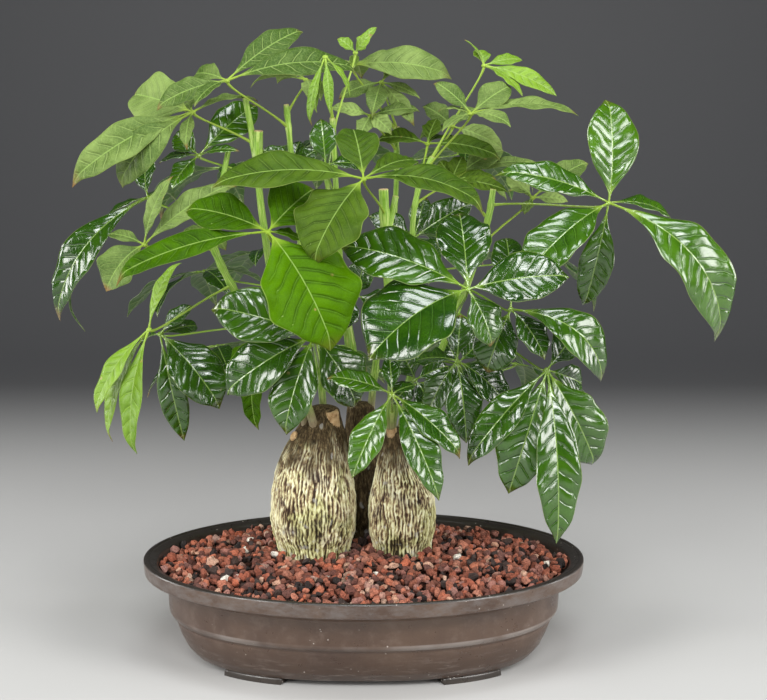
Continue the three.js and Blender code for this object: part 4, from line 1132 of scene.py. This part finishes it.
# Each leaf: the shoot that carries it and at what height, its hub, the way that its upper side faces,
# its tone, and its leaflets: reach along X, Y and Z from the hub, width and, if they aren't the common
# ones, how far the blade is turned about its length to show its upper side to the front, and its arch.
Leaf = namedtuple("Leaf", "shoot height hub faces tone leaflets")
Leaflet = namedtuple("Leaflet", "x y z width front_share arch", defaults=(0, BLADE_ARCH))
LEAVES = {
    "leaf_a": Leaf("shoot_left_a", 458, (-146, -20, 484), (-0.2, -0.35, 0.9), "light", [
        (-103, -22, -60, 35, 0.6, 0.12), (-58, 30, 17, 46, 0.7), (-66, 6, -64, 34, 0.8, 0.3),
        (54, 24, 12, 22), (-3, -26, -30, 13), (-16, 62, 6, 24),
    ]),
    "leaf_b": Leaf("shoot_left_c", 472, (-115, -30, 510), (0, -0.3, 0.95), "light", [
        (112, 28, 12, 32, 0.5, 0.13), (63, 34, 46, 26, 0.6), (-33, 38, 7, 22, 0.5),
        (-59, -12, -23, 24, 0.5), (-24, -32, -22, 16),
    ]),
    "leaf_c": Leaf("shoot_left_c", 484, (-53, 60, 516), (0, 0.1, 1), "light", [
        (-51, 0, -3, 24), (-30, 52, 2, 24), (12, 42, -14, 18), (8, -38, -22, 16),
    ]),
    "leaf_new_a": Leaf("shoot_back_a", 478, (-31, -40, 529), (0, -0.4, 0.9), "new", [
        (-14, -2, -56, 9), (-9, 8, -46, 9), (4, -8, -47, 9), (21, 6, -32, 10),
    ]),
    "leaf_new_b": Leaf("shoot_back_a", 468, (-7, 30, 538), (0, -0.2, 1), "new", [
        (-16, 2, 13, 12, 0.6), (19, 10, 24, 9, 0.6), (14, -12, 15, 13, 0.7), (-2, 18, -12, 9),
    ]),
    "leaf_u": Leaf("shoot_back_b", 470, (-11, 52, 528), (0, 0, 1), "light", [
        (91, -4, -9, 36, 0.6, 0.12), (62, 50, 2, 28, 0.3), (8, 72, -4, 26),
    ]),
    "leaf_v": Leaf("shoot_left_a", 428, (-143, -10, 447), (-0.1, -0.5, 0.85), "mid", [
        (-23, 15, 20, 22, 0.7), (-37, 10, -6, 16), (-21, -20, -28, 20, 0.3), (48, 42, 46, 34, 0.7),
        (36, -6, 4, 13),
    ]),
    "leaf_w": Leaf("shoot_back_a", 402, (-32, -22, 439), (0, -0.6, 0.8), "dark", [
        (-4, 4, 40, 24), (-42, 20, -4, 20), (34, 12, -2, 20),
    ]),
    "leaf_d": Leaf("shoot_right_a", 396, (2, -100, 428), (0, -0.5, 0.87), "mid", [
        (-122, -8, -4, 40, 0.2), (-10, 48, 42, 36), (-40, -32, -64, 62), (98, -12, -22, 36, 0, 0.13),
        (46, 54, 14, 24, 0.2),
    ]),
    "leaf_e": Leaf("shoot_left_c", 330, (-75, -110, 386), (0, -0.55, 0.83), "vivid", [
        (-69, 18, 18, 38, 0.3), (-126, -4, -38, 27, 0.3), (36, 30, 34, 48, 0.5),
        (53, -30, -90, 80, 0, 0.12), (31, 20, -12, 18),
    ]),
    "leaf_m": Leaf("shoot_left_b", 386, (-193, 20, 410), (-0.5, -0.35, 0.8), "dark", [
        (-3, 28, 36, 24), (-48, 24, -26, 16), (-82, -16, -108, 34, 0.6, 0.24), (-74, 16, -118, 17, 0, 0.2),
        (14, 60, 0, 24),
    ]),
    "leaf_n": Leaf("shoot_left_b", 366, (-185, -50, 372), (-0.2, -0.6, 0.77), "light", [
        (-30, -18, -38, 38, 0.4, 0.2), (25, -6, 58, 16, 0.3), (76, 8, 52, 26, 0.4), (-34, 14, 8, 14),
    ]),
    "leaf_k": Leaf("shoot_left_b", 334, (-179, -72, 302), (-0.3, -0.55, 0.78), "new", [
        (24, 8, 57, 14), (-45, -12, -68, 22), (-40, 12, -98, 20), (-13, -20, -102, 23),
    ]),
    "leaf_l": Leaf("shoot_left_b", 296, (-182, 2, 289), (-0.1, -0.55, 0.8), "dark", [
        (55, -15, -64, 48), (27, 15, 25, 16, 0.5), (30, 36, 3, 16, 0.5), (-22, 30, -15, 13),
        (18, 12, -100, 26),
    ]),
    "leaf_x": Leaf("shoot_left_c", 252, (-41, -60, 295), (0, -0.6, 0.8), "dark", [
        (-87, 0, 25, 48, 0.5), (-77, 0, -49, 46, 0.4), (-25, -15, -82, 42), (36, 6, -62, 50),
    ]),
    "leaf_y": Leaf("shoot_left_b", 258, (-92, -24, 286), (-0.3, -0.5, 0.8), "vivid", [
        (-26, 0, -26, 22), (-2, 2, -80, 24),
    ]),
    "leaf_f": Leaf("shoot_right_c", 296, (86, -115, 340), (0, -0.55, 0.83), "dark", [
        (-5, 45, 60, 46), (80, -10, 12, 44, 0.5), (-104, 25, 34, 50, 0.3), (-80, -34, -52, 82, 0, 0.12),
        (20, -4, -46, 34),
    ]),
    "leaf_g": Leaf("shoot_right_c", 330, (124, -80, 320), (0.1, -0.6, 0.8), "dark", [
        (-20, -2, -53, 38), (27, -20, -39, 28), (78, 2, -60, 38, 0.3, 0.34), (0, 58, 58, 32),
    ]),
    "leaf_h": Leaf("shoot_right_c", 308, (155, -80, 269), (0.1, -0.7, 0.7), "dark", [
        (-32, -10, -104, 44), (8, -25, -143, 38), (44, 8, -84, 46, 0.5), (30, 40, 28, 28, 0.5),
        (35, 32, -18, 24, 0.6), (-68, -4, -80, 32),
    ]),
    "leaf_i": Leaf("shoot_right_c", 262, (81, -55, 273), (0, -0.6, 0.8), "dark", [
        (8, -8, -70, 32), (-25, 6, -50, 28), (43, 6, -40, 36), (-38, 28, -6, 24), (4, 20, 38, 24),
    ]),
    "leaf_j": Leaf("shoot_right_a", 214, (25, -95, 251), (0, -0.7, 0.7), "mid", [
        (-54, 4, 14, 22), (-33, -18, -67, 28), (39, -25, -84, 30), (58, -12, -50, 28), (-2, 16, 30, 16),
        (20, 14, 5, 11),
    ]),
    "leaf_p": Leaf("shoot_right_c", 404, (210, -40, 407), (0.15, -0.5, 0.85), "mid", [
        (0, 15, 89, 46), (98, -5, -117, 50, 0.5, 0.32), (62, 34, -15, 22), (-96, -6, 27, 30, 0.4),
        (-80, -45, -65, 44), (-17, 18, -92, 30),
    ]),
    "leaf_q": Leaf("shoot_right_c", 368, (151, 14, 410), (0, -0.3, 0.95), "light", [
        (-22, 15, 20, 20, 0.5), (52, 18, 32, 24, 0.5), (31, -5, -3, 14, 0.5), (-22, -8, 7, 12),
        (-8, -8, -14, 12),
    ]),
    "leaf_r": Leaf("shoot_right_b", 445, (107, 20, 526), (0, 0, 1), "new", [
        (-17, 2, 23, 9), (-4, 15, 15, 16), (35, 10, 6, 13, 0.6), (65, 0, -26, 19, 0.6),
        (33, -16, -27, 16, 0.3),
    ]),
    "leaf_s": Leaf("shoot_right_b", 432, (94, -10, 483), (0, -0.2, 1), "light", [
        (-32, 10, 28, 18, 0.6), (36, 15, 25, 26, 0.6), (94, 4, 0, 26, 0.2), (32, -26, -10, 18, 0.3),
        (-26, -16, -15, 14), (-28, 6, 4, 12),
    ]),
    "leaf_t": Leaf("shoot_right_b", 418, (58, 46, 458), (0, -0.3, 0.95), "mid", [
        (66, -8, -12, 24, 0.4), (9, 12, 23, 18), (-46, 20, 4, 22, 0.3), (22, 52, 4, 22),
    ]),
    "leaf_o": Leaf("shoot_right_b", 404, (88, 66, 430), (0.2, -0.2, 0.95), "light", [
        (42, 10, 23, 26, 0.5), (78, 22, 10, 14, 0.4), (46, 2, -22, 20, 0.3), (14, 62, -8, 24),
    ]),
}

# ---------------------------------------------------------------- leaves of the back, placed by rule

# Each leaf: degrees round the crown with 90 at the back, hub height, share of the crown's reach, shoot and
# the height on it.
BACK_LEAVES = [
    (12, 250, 0.72, "shoot_right_b", 236),
    (58, 262, 0.86, "shoot_back_b", 240),
    (106, 248, 0.84, "shoot_back_c", 238),
    (150, 262, 0.82, "shoot_back_c", 262),
    (30, 352, 0.92, "shoot_back_b", 330),
    (76, 368, 0.92, "shoot_back_b", 354),
    (122, 352, 0.94, "shoot_back_c", 330),
    (164, 338, 0.78, "shoot_left_c", 320),
    (52, 452, 0.74, "shoot_back_b", 440),
    (104, 462, 0.66, "shoot_back_c", 424),
    (146, 436, 0.82, "shoot_back_c", 410),
]
CROWN_MIDDLE = (0, 60)
CROWN_REACH = (205, 150)  # the half widths of the ellipse that the crown fills
BACK_LEAFLETS = 5
BACK_SPREAD = 280  # degrees from the first leaflet to the last
BACK_JITTER = 14  # degrees
# For the leaflets that point to the middle and straight out, and what a draw adds:
BACK_LENGTHS = (52, 92, 10)
BACK_DROOPS = (0.12, 0.54, 0.12)
BACK_WIDTHS = (0.3, 0.3, 0.06)  # of the length
BACK_ARCH = 0.12
BACK_TILT = 0.4  # how far the leaf's upper side turns outwards


def back_leaf(row, draw):
    """A leaf of the crown's back. Its leaflets are longest and hang most on the outer side."""
    degrees, height, share, shoot, shoot_height = row
    out = np.array([math.cos(math.radians(degrees)), math.sin(math.radians(degrees)), 0])
    across = np.array([-out[1], out[0], 0])
    hub = (CROWN_MIDDLE[0] + CROWN_REACH[0] * share * out[0],
           CROWN_MIDDLE[1] + CROWN_REACH[1] * share * out[1], height)

    def between(ends, part):
        return ends[0] + (ends[1] - ends[0]) * part + ends[2] * draw()

    leaflets = []
    for k in range(BACK_LEAFLETS):
        angle = BACK_SPREAD * (k / (BACK_LEAFLETS - 1) - 0.5) + BACK_JITTER * (draw() - 0.5)
        angle = math.radians(angle)
        front = 0.5 + 0.5 * math.cos(angle)
        length = between(BACK_LENGTHS, front)
        reach = out * math.cos(angle) + across * math.sin(angle)
        reach[2] = -between(BACK_DROOPS, front)
        reach = unit(reach) * length
        leaflets.append((*reach, length * between(BACK_WIDTHS, front), 0, BACK_ARCH))
    faces = (BACK_TILT * out[0], BACK_TILT * out[1], 1 - BACK_TILT ** 2)
    return Leaf(shoot, shoot_height, hub, faces, "dark", leaflets)


def add_back_leaves():
    draw = make_draw(SEED + 1)
    for k, row in enumerate(BACK_LEAVES, 1):
        LEAVES[f"leaf_back_{k:02d}"] = back_leaf(row, draw)


# ---------------------------------------------------------------- small leaves inside the crown

# They fill the shaded middle, so they replace no CAD node.
INNER_LEAVES = {
    "leaf_inner_a": Leaf("shoot_back_b", 472, (16, 64, 514), (0, -0.4, 0.9), "light", [
        (-39, -8, -14, 18, 0.5), (35, -14, -14, 10, 0.5), (-8, -34, -30, 20, 0.5), (30, -20, -39, 16, 0.6),
        (20, 30, 16, 16),
    ]),
    "leaf_inner_b": Leaf("shoot_back_b", 452, (6, 44, 483), (0, -0.4, 0.9), "light", [
        (-36, -10, 7, 15, 0.5), (19, -14, -16, 17, 0.6, 0.2), (45, 6, 6, 14, 0.5), (-9, -16, -18, 16, 0.5),
    ]),
    "leaf_inner_c": Leaf("shoot_right_b", 440, (82, 70, 474), (0, -0.3, 0.95), "light", [
        (-27, -4, 19, 22, 0.6), (46, -10, -20, 22, 0.6), (24, 20, 18, 14, 0.4), (-31, -4, -10, 14, 0.3),
    ]),
    "leaf_inner_d": Leaf("shoot_right_c", 392, (80, 40, 425), (0, -0.4, 0.9), "mid", [
        (10, 4, 22, 18, 0.6), (40, -6, 2, 15, 0.5), (50, -14, -9, 16, 0.5), (-11, 10, 18, 14, 0.5),
    ]),
    "leaf_inner_e": Leaf("shoot_back_b", 320, (47, 70, 371), (0, -0.5, 0.85), "dark", [
        (55, -10, 34, 34, 0.6), (11, 10, 39, 22, 0.4), (-43, -4, 21, 26, 0.5), (24, -20, -21, 22, 0.5),
        (-24, -20, -21, 20, 0.5),
    ]),
    "leaf_inner_f": Leaf("shoot_left_b", 352, (-142, 40, 387), (0, -0.6, 0.8), "light", [
        (-19, -14, -26, 24, 0.7), (-12, 10, 23, 14, 0.6), (21, 14, 14, 16, 0.6), (17, -10, -25, 14, 0.5),
    ]),
    "leaf_inner_g": Leaf("shoot_left_c", 400, (-67, 70, 436), (0, -0.4, 0.9), "dark", [
        (-27, -6, 17, 22, 0.6), (24, 6, 17, 18, 0.5), (7, 16, 26, 14), (-14, -16, -20, 20, 0.5),
    ]),
    "leaf_inner_h": Leaf("shoot_right_b", 268, (86, 10, 262), (0, -0.5, 0.85), "dark", [
        (-26, -8, -28, 30, 0.6), (14, -8, -44, 32, 0.6), (42, -4, -24, 32, 0.6), (-16, 8, 22, 22, 0.5),
        (30, 8, 26, 26, 0.6),
    ]),
    "leaf_inner_i": Leaf("shoot_right_b", 240, (46, -14, 250), (0, -0.5, 0.85), "dark", [
        (-14, -4, 28, 24, 0.6), (18, -10, -26, 24, 0.6), (-20, -8, -20, 22, 0.6), (30, 6, 12, 20, 0.5),
    ]),
    "leaf_inner_j": Leaf("shoot_back_a", 300, (-6, 20, 322), (0, -0.5, 0.85), "dark", [
        (-36, -10, 12, 30, 0.6), (10, -14, 36, 26, 0.6), (34, -10, -16, 28, 0.6), (-20, -14, -30, 28, 0.6),
    ]),
}
LEAVES.update(INNER_LEAVES)

# ---------------------------------------------------------------- leaf parts

# Share of the length, share of the half width.
LONG_BLADE = [(0, 0), (0.05, 0.02), (0.17, 0.24), (0.4, 0.87), (0.62, 1), (0.85, 0.6), (0.95, 0.2), (1, 0)]
SHORT_BLADE = [(0, 0), (0.06, 0.02), (0.2, 0.26), (0.36, 0.76), (0.53, 1), (0.8, 0.7), (0.94, 0.22), (1, 0)]
LONG_BLADE_WIDTH = 36
FRONT = np.array([0, -1.0, 0])
BLADE_HALF_THICKNESS = 0.28
STALK_RADIUS = 0.95
TIP_HALF_WIDTH = 0.15
TIP_CURL = 0.12  # how far a tip may bend down, as a share of the length
EDGE_HEIGHT = 0.14  # how far the edges stand above the midrib, as a share of the half width
FOLD_RISE = 0.32  # how steeply the blade leaves the midrib
SIDE_VEINS = 9  # in the length of a leaflet
VEIN_SLANT = 0.62  # how far a side vein runs forward for each step out
VEIN_WANDER = 0.35  # how far a side vein may stray from its even course, in spaces between two
VEIN_PITCHES = (4.5, 12)  # the least and the most
WAVE_HEIGHT = 0.10  # of the half width
EDGE_WAVE = 0.025
TWIST = 9  # degrees either way
RIB_HALF_WIDTH = 0.8
RIB_DEPTH = 0.95
ACROSS = 12  # points from the midrib to the edge
ROW_SPACING = 1.5
ROW_LIMITS = (24, 90)
BROWN_SHARE = 0.36  # of the leaflets have a brown tip
PETIOLE_RADIUS = 1.0
PETIOLE_TAPER = 0.15
PETIOLE_SWELLINGS = ((0.7, 9), (0.6, 7))  # at the shoot and at the hub: share of the radius, reach
PETIOLE_STEPS = 36
PETIOLE_SIDES = 10
PETIOLE_RISE = 0.04
PETIOLE_DROP = 0.1
HUB_RADIUS = 2.6
HUB_HEIGHTS = np.array([-1, -0.8, -0.3, 0.3, 0.75, 0.95])
HUB_FLATNESS = 0.7
HUB_SIDES = 14
STALK_BLADE = (0, 9, 0)  # what the paint reads on stalks and hubs: off the veins, the midrib and the edge


def upper_side(along, faces, front_share):
    """The way that a blade's upper side faces, square to its length: as the leaf's, or more to the front."""
    ways = [unit(way - along * (way @ along)) for way in (faces, FRONT)]
    return unit(ways[0] * (1 - front_share) + ways[1] * front_share)


def half_widths(t, width, stalk, rng):
    """Half the blade's width at each share t of its length, with a slightly wavy edge."""
    outline = LONG_BLADE if width >= LONG_BLADE_WIDTH else SHORT_BLADE
    half = smooth_line(outline, t) * width / 2
    edge_wave = 1 + EDGE_WAVE * np.sin(2 * math.pi * (t * rng.uniform(3, 5) + rng.random()))
    half = np.maximum(half * edge_wave, STALK_RADIUS * smooth_step(1.0, 0.9, t) * stalk)
    return np.maximum(half, TIP_HALF_WIDTH)


def blade_course(hub, reach, arch, up, side, t, rng):
    """The midrib's points, and the ways across the blade and out of it at each of them."""
    length = np.linalg.norm(reach)
    line = hub + np.outer(t, reach) + np.outer(arch * length * 4 * t * (1 - t), up)
    line -= np.outer(TIP_CURL * rng.random() * length * smooth_step(0.84, 1.04, t) ** 2, up)
    ahead = unit(np.gradient(line, axis=0))
    lift = unit(np.cross(side, ahead))
    twist = math.radians(rng.uniform(-TWIST, TWIST)) * smooth_step(0.2, 1, t)
    across = side * np.cos(twist)[:, None] + lift * np.sin(twist)[:, None]
    return line, across, lift * np.cos(twist)[:, None] - side * np.sin(twist)[:, None]


def shares_across(half):
    """Where the points lie across a blade, from -1 to 1 in each row, with one close to the midrib's side."""
    inner = np.minimum(RIB_HALF_WIDTH / np.maximum(half, 1e-3), 1 / ACROSS)
    outer = 2 * inner + (1 - 2 * inner) * np.arange(ACROSS - 1) / (ACROSS - 2)
    right = np.concatenate([0 * inner, inner, outer], axis=1)
    return np.concatenate([-right[:, :0:-1], right], axis=1)


def blade_relief(t, v, half, length, pleats, rng):
    """How high a blade's face stands at each point, and how many side veins lie before it."""
    y = v * half
    away = np.abs(v)
    pitch = np.clip(length / SIDE_VEINS, *VEIN_PITCHES)
    bow = VEIN_SLANT * away * half * (1 + 0.35 * away)
    phase = (t * length - bow) / pitch + 0.5 * (v < 0) + rng.random()
    spots = np.stack([t * length + 0 * y, y, np.full_like(y, 40 * rng.random())], -1).reshape(-1, 3)

    def uneven(grain, seed):
        return noise(spots / grain, seed).reshape(y.shape)

    phase = phase + VEIN_WANDER * away * uneven((13, 8, 1), 6)
    part = phase - np.floor(phase)
    arches = 4 * part * (1 - part) - 0.67
    calm = smooth_step(0.02, 0.22, away) * smooth_step(1.02, 0.72, away)
    calm = calm * (smooth_step(0.12, 0.3, t) * smooth_step(0.99, 0.86, t))
    strength = 0.7 + 0.7 * uneven((24, 16, 1), 5)
    pleat = pleats * pitch * arches * calm * strength * rng.uniform(0.8, 1.3)
    fold = half * (FOLD_RISE * away - (FOLD_RISE - EDGE_HEIGHT) * away ** 2)
    fold = fold * rng.uniform(0.7, 1.3)
    wave = WAVE_HEIGHT * half * away ** 2.5 * np.sin(
        2 * math.pi * (t * rng.uniform(2.2, 3.6) + rng.random() + 0.3 * np.sign(v)))
    dents = 0.65 * uneven((20, 13, 1), 3) + 0.1 * uneven((6, 4.5, 1), 4)
    return fold + pleat + wave + dents * calm, phase


def blade_marks(t, v, y, phase, stalk, tint, rng):
    """The values on a blade's points, over its upper side and back along its underside."""
    drawn = rng.random()
    brown = rng.random() < BROWN_SHARE
    worn = smooth_step(0.90, 1.0, t + 0.02 * rng.random()) * np.ones_like(v) * (1.0 if brown else 0.25)
    freshness = np.full_like(v, drawn if tint is None else tint)
    blade = np.stack([phase, y, np.abs(v)], axis=-1)
    upper = np.stack([freshness, worn, np.zeros_like(v), stalk + 0 * v], axis=-1)
    under = upper.copy()
    under[..., 2] = 1
    return {"blade": np.concatenate([blade, blade[:, ::-1]], axis=1),
            "leaf": np.concatenate([upper, under[:, ::-1]], axis=1)}


def leaflet_rings(leaf, leaflet, rng, pleats, tint):
    """Rings round one leaflet from its stalk to its tip, each over the top and back below, and marks."""
    reach = np.array(leaflet[:3], float)
    length = np.linalg.norm(reach)
    along = reach / length
    up = upper_side(along, unit(leaf.faces), leaflet.front_share)
    side = np.cross(along, up)
    t = np.linspace(0, 1, int(np.clip(length / ROW_SPACING, *ROW_LIMITS)))
    t = t + 0.05 * np.sin(math.pi * t) * np.cos(math.pi * t)
    stalk = smooth_step(0.2, 0.05, t)
    half = half_widths(t, leaflet.width, stalk, rng)
    line, across, lift = blade_course(np.array(leaf.hub, float), reach, leaflet.arch, up, side, t, rng)

    t, half, stalk = (row[:, None] for row in (t, half, stalk))
    v = shares_across(half)
    y = v * half
    surface, phase = blade_relief(t, v, half, length, pleats, rng)
    thick = BLADE_HALF_THICKNESS * smooth_step(1.0, 0.97, t) * (1 - 0.5 * np.abs(v) ** 4)
    thick = np.maximum(thick, stalk * STALK_RADIUS * np.sqrt(np.clip(1 - v ** 2, 0, 1)))
    rib = RIB_DEPTH * (1 - 0.75 * t) * np.exp(-(y / 0.85) ** 2) * (1 - stalk)
    base = line[:, None] + y[..., None] * across[:, None]
    upper = base + (surface + thick + 0.18 * rib)[..., None] * lift[:, None]
    under = base + (surface - thick - rib)[..., None] * lift[:, None]
    rings = np.concatenate([upper, under[:, ::-1]], axis=1)
    return rings, blade_marks(t, v, y, phase, stalk, tint, rng)


def add_petiole(skin, leaf, rng):
    """The leaf's stalk, from the shoot's middle line up and over to the hub, swollen at both ends."""
    start = shoot_point(leaf.shoot, leaf.height)
    hub = np.array(leaf.hub, float)
    span = np.linalg.norm(hub - start)
    rise = start + (hub - start) * 0.4 + (0, 0, PETIOLE_RISE * span)
    below = hub - unit(leaf.faces) * PETIOLE_DROP * span
    t = np.linspace(0, 1, PETIOLE_STEPS)[:, None]
    line = ((1 - t) ** 3 * start + 3 * t * (1 - t) ** 2 * rise + 3 * t * t * (1 - t) * below + t ** 3 * hub)
    thicker = 1
    for end, (swelling, reach) in zip((start, hub), PETIOLE_SWELLINGS):
        thicker = thicker + swelling * np.exp(-(np.linalg.norm(line - end, axis=1) / reach) ** 2)
    radius = PETIOLE_RADIUS * (1 - PETIOLE_TAPER * t[:, 0]) * thicker
    marks = [[[rng.random(), 0, 0, 1]]]
    skin.add_loft(tube(line, radius, PETIOLE_SIDES), {"blade": [[STALK_BLADE]], "leaf": marks})


def add_hub(skin, leaf):
    """The small swollen disc where the leaflets meet."""
    faces = unit(leaf.faces)
    line = np.array(leaf.hub) + np.outer(HUB_HEIGHTS * HUB_RADIUS * HUB_FLATNESS, faces)
    radii = HUB_RADIUS * np.sqrt(1 - (HUB_HEIGHTS * 0.97) ** 2)
    skin.add_loft(tube(line, radii, HUB_SIDES), {"blade": [[STALK_BLADE]], "leaf": [[[0.5, 0, 0, 1]]]})


# Each tone: its deep and fresh greens, its underside, paler partly by its own colour and partly by painted
# light shining through, its stalks, how rough its upper side is, how much light it throws back, how high its
# pleats are as a share of the pitch, how dark the painted shade in the folds along the side veins is and how
# strongly the side veins sink.
Tone = namedtuple("Tone", "deep fresh below stalk roughness sheen pleats folds veins")
LEAF_TONES = {
    "light": Tone((0.042, 0.086, 0.010), (0.225, 0.315, 0.085), (0.20, 0.30, 0.07), (0.26, 0.37, 0.05),
                  0.50, 0.16, 0.13, 0.5, 0.2),
    "olive": Tone((0.024, 0.060, 0.003), (0.078, 0.138, 0.010), (0.12, 0.21, 0.04), (0.23, 0.34, 0.04),
                  0.46, 0.09, 0.19, 0.8, 0.3),
    "mid": Tone((0.011, 0.050, 0.001), (0.052, 0.142, 0.002), (0.11, 0.21, 0.04), (0.23, 0.35, 0.04),
                0.14, 0.9, 0.075, 0.5, 0.5),
    "vivid": Tone((0.024, 0.068, 0.001), (0.062, 0.158, 0.000), (0.13, 0.24, 0.03), (0.25, 0.38, 0.04),
                  0.42, 0.05, 0.19, 0.75, 0.35),
    "dark": Tone((0.007, 0.034, 0.001), (0.032, 0.098, 0.001), (0.07, 0.15, 0.03), (0.18, 0.30, 0.03),
                 0.13, 0.9, 0.075, 0.5, 0.5),
    "new": Tone((0.092, 0.190, 0.008), (0.190, 0.325, 0.028), (0.22, 0.35, 0.06), (0.27, 0.40, 0.05),
                0.36, 0.3, 0.10, 0.5, 0.3),
}
OLIVE_LEAVES = ("leaf_d", "leaf_t", "leaf_inner_d")
# How fresh each leaflet of a leaf is, where they clearly differ.
TINTS = {
    "leaf_b": (-0.6, -0.6, 0.0, 0.0, -0.2),
    "leaf_e": (0.0, 0.05, 0.0, 1.0, 0.2),
}


MIDRIB_COLOUR = (0.25, 0.38, 0.09)
MARGIN_HIGHLIGHT_COLOUR = (0.30, 0.38, 0.10)
VEIN_BELOW_COLOUR = (0.40, 0.48, 0.20)
SPOT_COLOUR = (0.36, 0.25, 0.09)
WORN_COLOUR = (0.20, 0.105, 0.035)


def brighter(colour, more):
    return [min(1, c * 1.5 + more) for c in colour]


def leaf_paint(name, tone):
    paint = Paint("leaf_" + name)
    phase, across, away, _ = paint.value("blade")
    tint, worn, under, stalk = paint.value("leaf")
    cloud = paint.grain(42, 4, 0.6)
    fine = paint.grain(480, 3, 0.6)
    share = paint.math("ADD", paint.times(tint, 0.6), paint.step(cloud, 0.32, 0.7, 0, 0.5), clamp=True)
    green = paint.mix(share, tone.deep, tone.fresh)
    net = paint.step(paint.cells(330, "DISTANCE_TO_EDGE"), 0.10, 0.0)
    netted = paint.mix(paint.times(net, 0.15), green, brighter(tone.fresh, 0.01))

    part = paint.math("FRACT", phase)
    from_vein = paint.minus(0.5, paint.math("ABSOLUTE", paint.minus(part, 0.5)))
    vein = paint.times(paint.step(from_vein, 0.08, 0.015), paint.step(away, 0.95, 0.6))
    # Painted shade in the folds along the side veins.
    folds = paint.times(paint.step(from_vein, 0.26, 0.02), paint.step(away, 0.95, 0.35))
    painted_fold_shade = paint.times(folds, paint.step(paint.grain(60, 2), 0.36, 0.62, 0.4, 1.0))
    shaded = paint.mix(paint.times(painted_fold_shade, tone.folds), netted, [c * 0.45 for c in tone.deep])
    veined = paint.mix(paint.times(vein, 0.38), shaded, brighter(tone.fresh, 0.02))
    rib = paint.step(paint.math("ABSOLUTE", across), 0.70, 0.30)
    ribbed = paint.mix(paint.times(rib, 0.62), veined, MIDRIB_COLOUR)
    # Painted highlight: a thin pale line along the leaf's edge.
    margin_highlighted = paint.mix(paint.step(away, 0.968, 1.0, 0, 0.5), ribbed, MARGIN_HIGHLIGHT_COLOUR)

    # The underside is paler, partly its own colour and partly painted light shining through the leaf.
    lower = paint.mix(paint.times(paint.math("MAXIMUM", vein, rib), 0.5), tone.below, VEIN_BELOW_COLOUR)
    sides = paint.mix(under, margin_highlighted, lower)
    stalks = paint.mix(stalk, sides, tone.stalk)
    spot = paint.times(paint.step(paint.cells(62), 0.13, 0.07), paint.step(paint.grain(19, 2), 0.62, 0.68))
    spotted = paint.mix(paint.times(spot, 0.7), stalks, SPOT_COLOUR)
    edge = paint.times(worn, paint.step(cloud, 0.35, 0.55))
    paint.set(Base_Color=paint.mix(edge, spotted, WORN_COLOUR))

    dull = paint.plus(tone.roughness, paint.times(under, 0.25))
    paint.set(Roughness=paint.plus(dull, paint.times(cloud, 0.06)))
    paint.set(Specular_IOR_Level=tone.sheen)
    relief = paint.minus(paint.times(fine, 0.4), paint.times(vein, 0.5))
    relief = paint.minus(relief, paint.times(net, 0.3))
    sunk = paint.times(paint.step(from_vein, 0.0, 0.13), paint.step(away, 0.97, 0.8))
    fine_relief = paint.bump(relief, 1.1 * tone.roughness, 0.0006)
    paint.set(Normal=paint.bump(sunk, tone.veins, 0.0011, fine_relief))
    return paint.material


def make_leaves():
    paints = {name: leaf_paint(name, tone) for name, tone in LEAF_TONES.items()}
    for order, (name, leaf) in enumerate(LEAVES.items()):
        rng = np.random.default_rng(SEED + 500 + order)
        skin = Skin()
        tints = TINTS.get(name, (None,) * len(leaf.leaflets))
        tone = "olive" if name in OLIVE_LEAVES else leaf.tone
        for row, tint in zip(leaf.leaflets, tints):
            rings, marks = leaflet_rings(leaf, Leaflet(*row), rng, LEAF_TONES[tone].pleats, tint)
            skin.add_loft(rings, marks)
        add_petiole(skin, leaf, rng)
        add_hub(skin, leaf)
        make_piece(name + "_blades", skin, paints[tone], [] if name in INNER_LEAVES else [name])


# ---------------------------------------------------------------- the whole scene

make_camera()
make_lights()
make_sky()
make_floor()
add_back_leaves()
make_pot()
make_bed()
make_trunks(bark_paint(), cut_paint())
make_shoots()
make_leaves()
